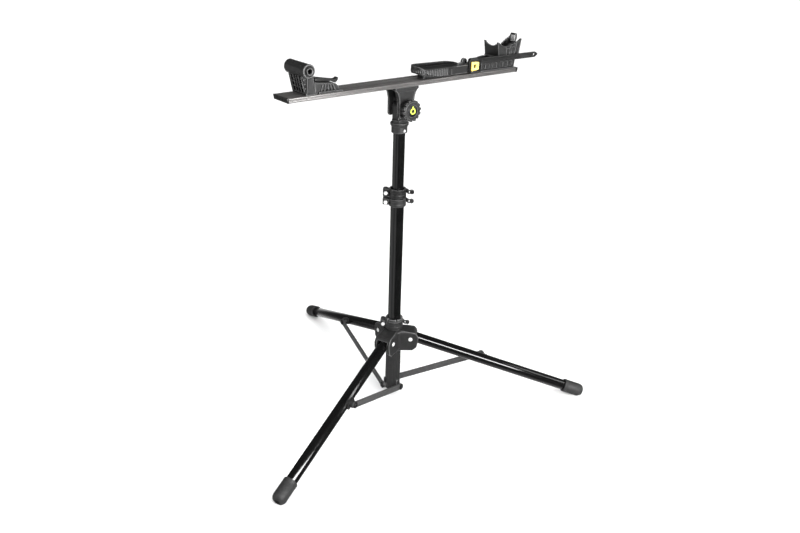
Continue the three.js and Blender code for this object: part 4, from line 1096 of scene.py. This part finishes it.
def build_loop():
    x0, x1, y0, y1, rim = 42, 212, -37, 25, 9
    radius = (y1 - y0) / 2
    middle = (y0 + y1) / 2
    ring_x, ring_z = 230, at(39)
    under = above((x0 - 1, 18), (60, 12), (110, 3), (x1 + 1, 3))
    profile = under + above((x1 + 1, 36.5), (x0 - 1, 40))
    crown = above((y0 - 1, 0), (y1 + 1, 0), (y1 + 1, 33), (y1 - 4, 45), (-26, 37.5))
    crown += above((-32, 34.5), (y0 - 1, 28.5))
    keep = prism(crown, 0, 300, "yz")
    body = raw_object("loop", prism(stadium(x0 + 0.9, x1, y0 + 0.9, y1 - 0.9, 40), at(0), at(50), "xy"))
    combine(body, [prism(profile, -50, 50), keep], "INTERSECT")
    # smooth band round the top edge
    band_side = above((x0 - 1, 26), (x1 + 1, 24), (x1 + 1, 36.2), (x0 - 1, 39.6))
    band = trimmed(prism(stadium(x0, x1, y0, y1, 40), at(0), at(50), "xy"), prism(band_side, -50, 50), keep)
    combine(body, [band], "UNION")
    recess = stadium(x0 + rim, x1 - rim, y0 + rim + 2, y1 - rim, 40)
    combine(body, [prism(recess, at(31.5), at(50), "xy")], "DIFFERENCE")
    remesh(body, 0.9, 24)
    shells = [
        shell_of(body),
        prism(plate(70, 112, -22, 10, 6), at(0.3), at(16), "xy"),
        block(x1 - 40, node_box("buckle_body")[0].x - 0.3, y0, -33, at(5), at(29)),
        prism(above((204, 12), (228, 24), (230, 38), (204, 36)), -30, -22),
        pin(11, ring_x, ring_z, -30, -22, 40, 0.8),
    ]
    # upright ribs round the free end and along the near side
    for i in range(17):
        turn = math.radians(100 + i * 170 / 16)
        x = x0 + radius + (radius - 0.9) * math.cos(turn)
        y = middle + (radius - 0.9) * math.sin(turn)
        lift = 21 - 0.1 * (x - x0)
        shells.append(rod(1.6, (x, y, at(lift)), (x, y, at(27)), 12))
    for i in range(12):
        x = x0 + radius + 5 + i * 7
        shells.append(rod(1.6, (x, y0 + 0.9, at(max(6, 14 - 1.4 * i))), (x, y0 + 0.9, at(27)), 12))
    cuts = [pin(5.5, ring_x, ring_z, -40, -10, 40)]
    make("strap_loop_skin", "cradle", LOOP, "strap_loop", shells, cuts, voxel=0.7)

    rim = [(0, 0), (7, 0), (7, 1.8), (5.8, 2.7), (0, 2.7)]
    make(
        "strap_eyelet_skin", "cradle", PLAIN_BLACK, "strap_eyelet",
        [
            pin(5.2, ring_x, ring_z, -33, -19, 40, 0.5),
            lathe(rim, (ring_x, -30.3, ring_z), (0, -1, 0), 40),
        ],
        [pin(4.2, ring_x, ring_z, -34, -18, 32)],
        bevel=0.15,
    )


def build_buckle():
    low, high = node_box("buckle_body")
    side = above((low.x, 7), (high.x, 7), (high.x, 49), (low.x + 6, 49), (low.x, 40))
    make(
        "strap_buckle", "cradle", PLAIN_BLACK, "buckle_body",
        [prism(rounded(side, [3, 3, 4, 4, 4]), -42, -33.5), block(264, 278, -34, -20.6, at(10), at(34))],
        [block(low.x - 10, high.x + 10, -39.8, -36.2, at(27.7), at(46.3))],
        bevel=0.7,
    )

    # lever with a window, two grip lines and a rolled hinge edge
    hinge = pivot("buckle_turn")
    low, high = node_box("buckle_lever")
    x, z0, z1 = hinge.x, low.z, high.z
    face = rounded([(x, z0), (high.x, z0 + 2), (high.x, z1 - 2), (x, z1)], [1, 4, 4, 1])
    window = plate(x + 6, x + 16, z0 + 7, z1 - 7, 3)
    cuts = [prism(window, -50, -42)]
    for line in (19.5, 24.5):
        cuts.append(block(x + line, x + line + 1.7, -50, -42, z0 + 4, z1 - 4))
    make(
        "buckle_tab", "buckle_lever_body", YELLOW, "buckle_lever",
        [prism(face, -46.6, -42.4), rod(3.4, (x, hinge.y, z0), (x, hinge.y, z1), 32)],
        cuts,
        bevel=0.6,
    )


# --- studio
VIEW_TURN = math.radians(38.6)  # the rail's direction, anticlockwise from the camera's right
CAMERA_LENS = 35.476
CAMERA_REACH = 2.3894  # from the mast's axis, level
CAMERA_HEIGHT = 1.6017
CAMERA_PITCH = math.radians(24.755)
CAMERA_YAW = math.radians(0.354)
CAMERA_ROLL = math.radians(1.714)
SKY_GLOW = 0.08
FLOOR_RADIUS = 60
FLOOR_DEPTH = 0.01


def build_camera():
    data = bpy.data.cameras.new("camera")
    data.sensor_width = 36
    data.lens = CAMERA_LENS
    camera = bpy.data.objects.new("camera", data)
    bpy.context.scene.collection.objects.link(camera)
    camera.matrix_world = (
        about_mast(-VIEW_TURN)
        @ Matrix.Translation((0, -CAMERA_REACH, CAMERA_HEIGHT))
        @ Matrix.Rotation(-CAMERA_YAW, 4, "Z")
        @ Matrix.Rotation(math.radians(90) - CAMERA_PITCH, 4, "X")
        @ Matrix.Rotation(CAMERA_ROLL, 4, "Z")
    )
    bpy.context.scene.camera = camera


def aimed(light_data, place, aim):
    """Puts a light at a place, both given as seen from the camera's side: right, away, up."""
    light = bpy.data.objects.new(light_data.name, light_data)
    bpy.context.scene.collection.objects.link(light)
    view = about_mast(-VIEW_TURN)
    place, aim = view @ Vector(place), view @ Vector(aim)
    turn = (aim - place).to_track_quat("-Z", "Y").to_matrix().to_4x4()
    light.matrix_world = Matrix.Translation(place) @ turn
    return light


def area_light(name, place, aim, size, power):
    data = bpy.data.lights.new(name, "AREA")
    data.shape = "RECTANGLE"
    data.size, data.size_y = size
    data.energy = power
    return aimed(data, place, aim)


def build_leg_line():
    """A long light placed where the leg on the right mirrors it, so that a line runs down the leg."""
    eye = bpy.context.scene.camera.location
    turn = Matrix.Rotation(LEG_ANGLES[0], 3, "Z")
    top = turn @ Vector((LEG_PIVOT_RADIUS, 0, LEG_PIVOT_Z)) * MM
    foot = turn @ Vector((FOOT_RADIUS, 0, FOOT_CENTRE_Z)) * MM
    along = (foot - top).normalized()
    seen = []
    for share in (-0.7, 0.85):
        point = top.lerp(foot, share)
        view = (eye - point).normalized()
        facing = (view - along * view.dot(along)).normalized()
        facing.rotate(Matrix.Rotation(math.radians(-4), 3, along))
        seen.append(point + 2 * (2 * facing.dot(view) * facing - view))
    centre, aim, length = seen[0].lerp(seen[1], 0.5), top.lerp(foot, 0.45), (seen[1] - seen[0]).length
    strip = area_light("leg_line", centre, aim, (length, 0.45), 75)
    away = (centre - aim).normalized()
    side = away.cross(seen[1] - seen[0]).normalized()
    placed = Matrix((side.cross(away), side, away)).transposed().to_4x4()
    placed.translation = centre
    strip.matrix_world = placed
    strip.visible_diffuse = False


def build_sky():
    """Dim surroundings for the reflections: pale straight below, with a few soft bright patches."""
    world = bpy.data.worlds.new("studio")
    world.use_nodes = True
    tree = world.node_tree
    direction = tree.nodes.new("ShaderNodeTexCoord").outputs["Generated"]
    background = tree.nodes["Background"].inputs
    total = None
    # each patch: its direction (right, away, up), where it fades out and its strength
    for centre, edge, strength in (
        ((0, 0, -1), 0.5, 0.9),
        ((-0.4, -0.8, -0.45), 0.93, 0.9),
        ((0, 0.9, -0.43), 0.75, 1.2),
        ((-0.95, -0.1, -0.3), 0.8, 0.8),
    ):
        turned_centre = Matrix.Rotation(-VIEW_TURN, 3, "Z") @ Vector(centre).normalized()
        toward = add_node(tree, "VectorMath", {1: turned_centre}, {0: direction}, operation="DOT_PRODUCT")
        values = {"From Min": edge, "To Max": strength}
        feeds = {"Value": toward.outputs["Value"]}
        patch = add_node(tree, "MapRange", values, feeds, interpolation_type="SMOOTHSTEP")
        feeds = {1: patch.outputs["Result"]}
        if total is not None:
            feeds[0] = total
        total = add_node(tree, "Math", {0: SKY_GLOW}, feeds).outputs["Value"]
    tree.links.new(total, background["Strength"])
    background["Color"].default_value = rgba(1)
    bpy.context.scene.world = world


def build_studio():
    edge = [(0, -FLOOR_DEPTH), (FLOOR_RADIUS, -FLOOR_DEPTH), (FLOOR_RADIUS, 0), (0, 0)]
    disc = lathe(edge, (0, 0, 0), (0, 0, 1), 96)
    floor = raw_object("studio_floor", disc)
    pale = finish("pale_floor", None, (300, 2, 0.895, 0.905), (300, 0.95, 0.95), specular=0.0)[0]
    floor.data.materials.append(pale)
    floor.visible_glossy = False

    build_sky()
    overhead = bpy.data.lights.new("overhead", "SUN")
    overhead.energy = 3.9
    overhead.angle = math.radians(80)
    aimed(overhead, (0.4, -0.9, 3.4), (0, 0, 0)).visible_glossy = False
    area_light("key", (1.9, -2.4, 1.15), (0, 0, 0.75), (1.0, 1.6), 190).visible_glossy = False
    build_leg_line()
    area_light("left_strip", (-2.6, -0.9, 1.3), (0, 0, 0.6), (0.3, 2.2), 20)
    area_light("right_strip", (2.8, -0.2, 1.4), (0, 0, 0.6), (0.25, 2.2), 20)
    bpy.context.scene.view_settings.view_transform = "Standard"


# --- the stand
build_camera()
build_studio()
build_mast_foot()
build_hub()
for leg_number, leg_angle in zip(LEGS, LEG_ANGLES):
    build_leg(leg_number, leg_angle)
    build_strut(leg_number, leg_angle)
build_clamp("hub", "hub", 26.3, 31, CASTING, 0)
build_clamp("stop", "base", LOWER_MAST_FIT, 28, CASTING, 0)
build_clamp("height", "base", LOWER_MAST_FIT, 28, BLACK, 10)
build_upper_mast()
build_tilt_head()
build_rail()
build_fork_mount()
build_rail_lock()
build_cradle()
build_strap()
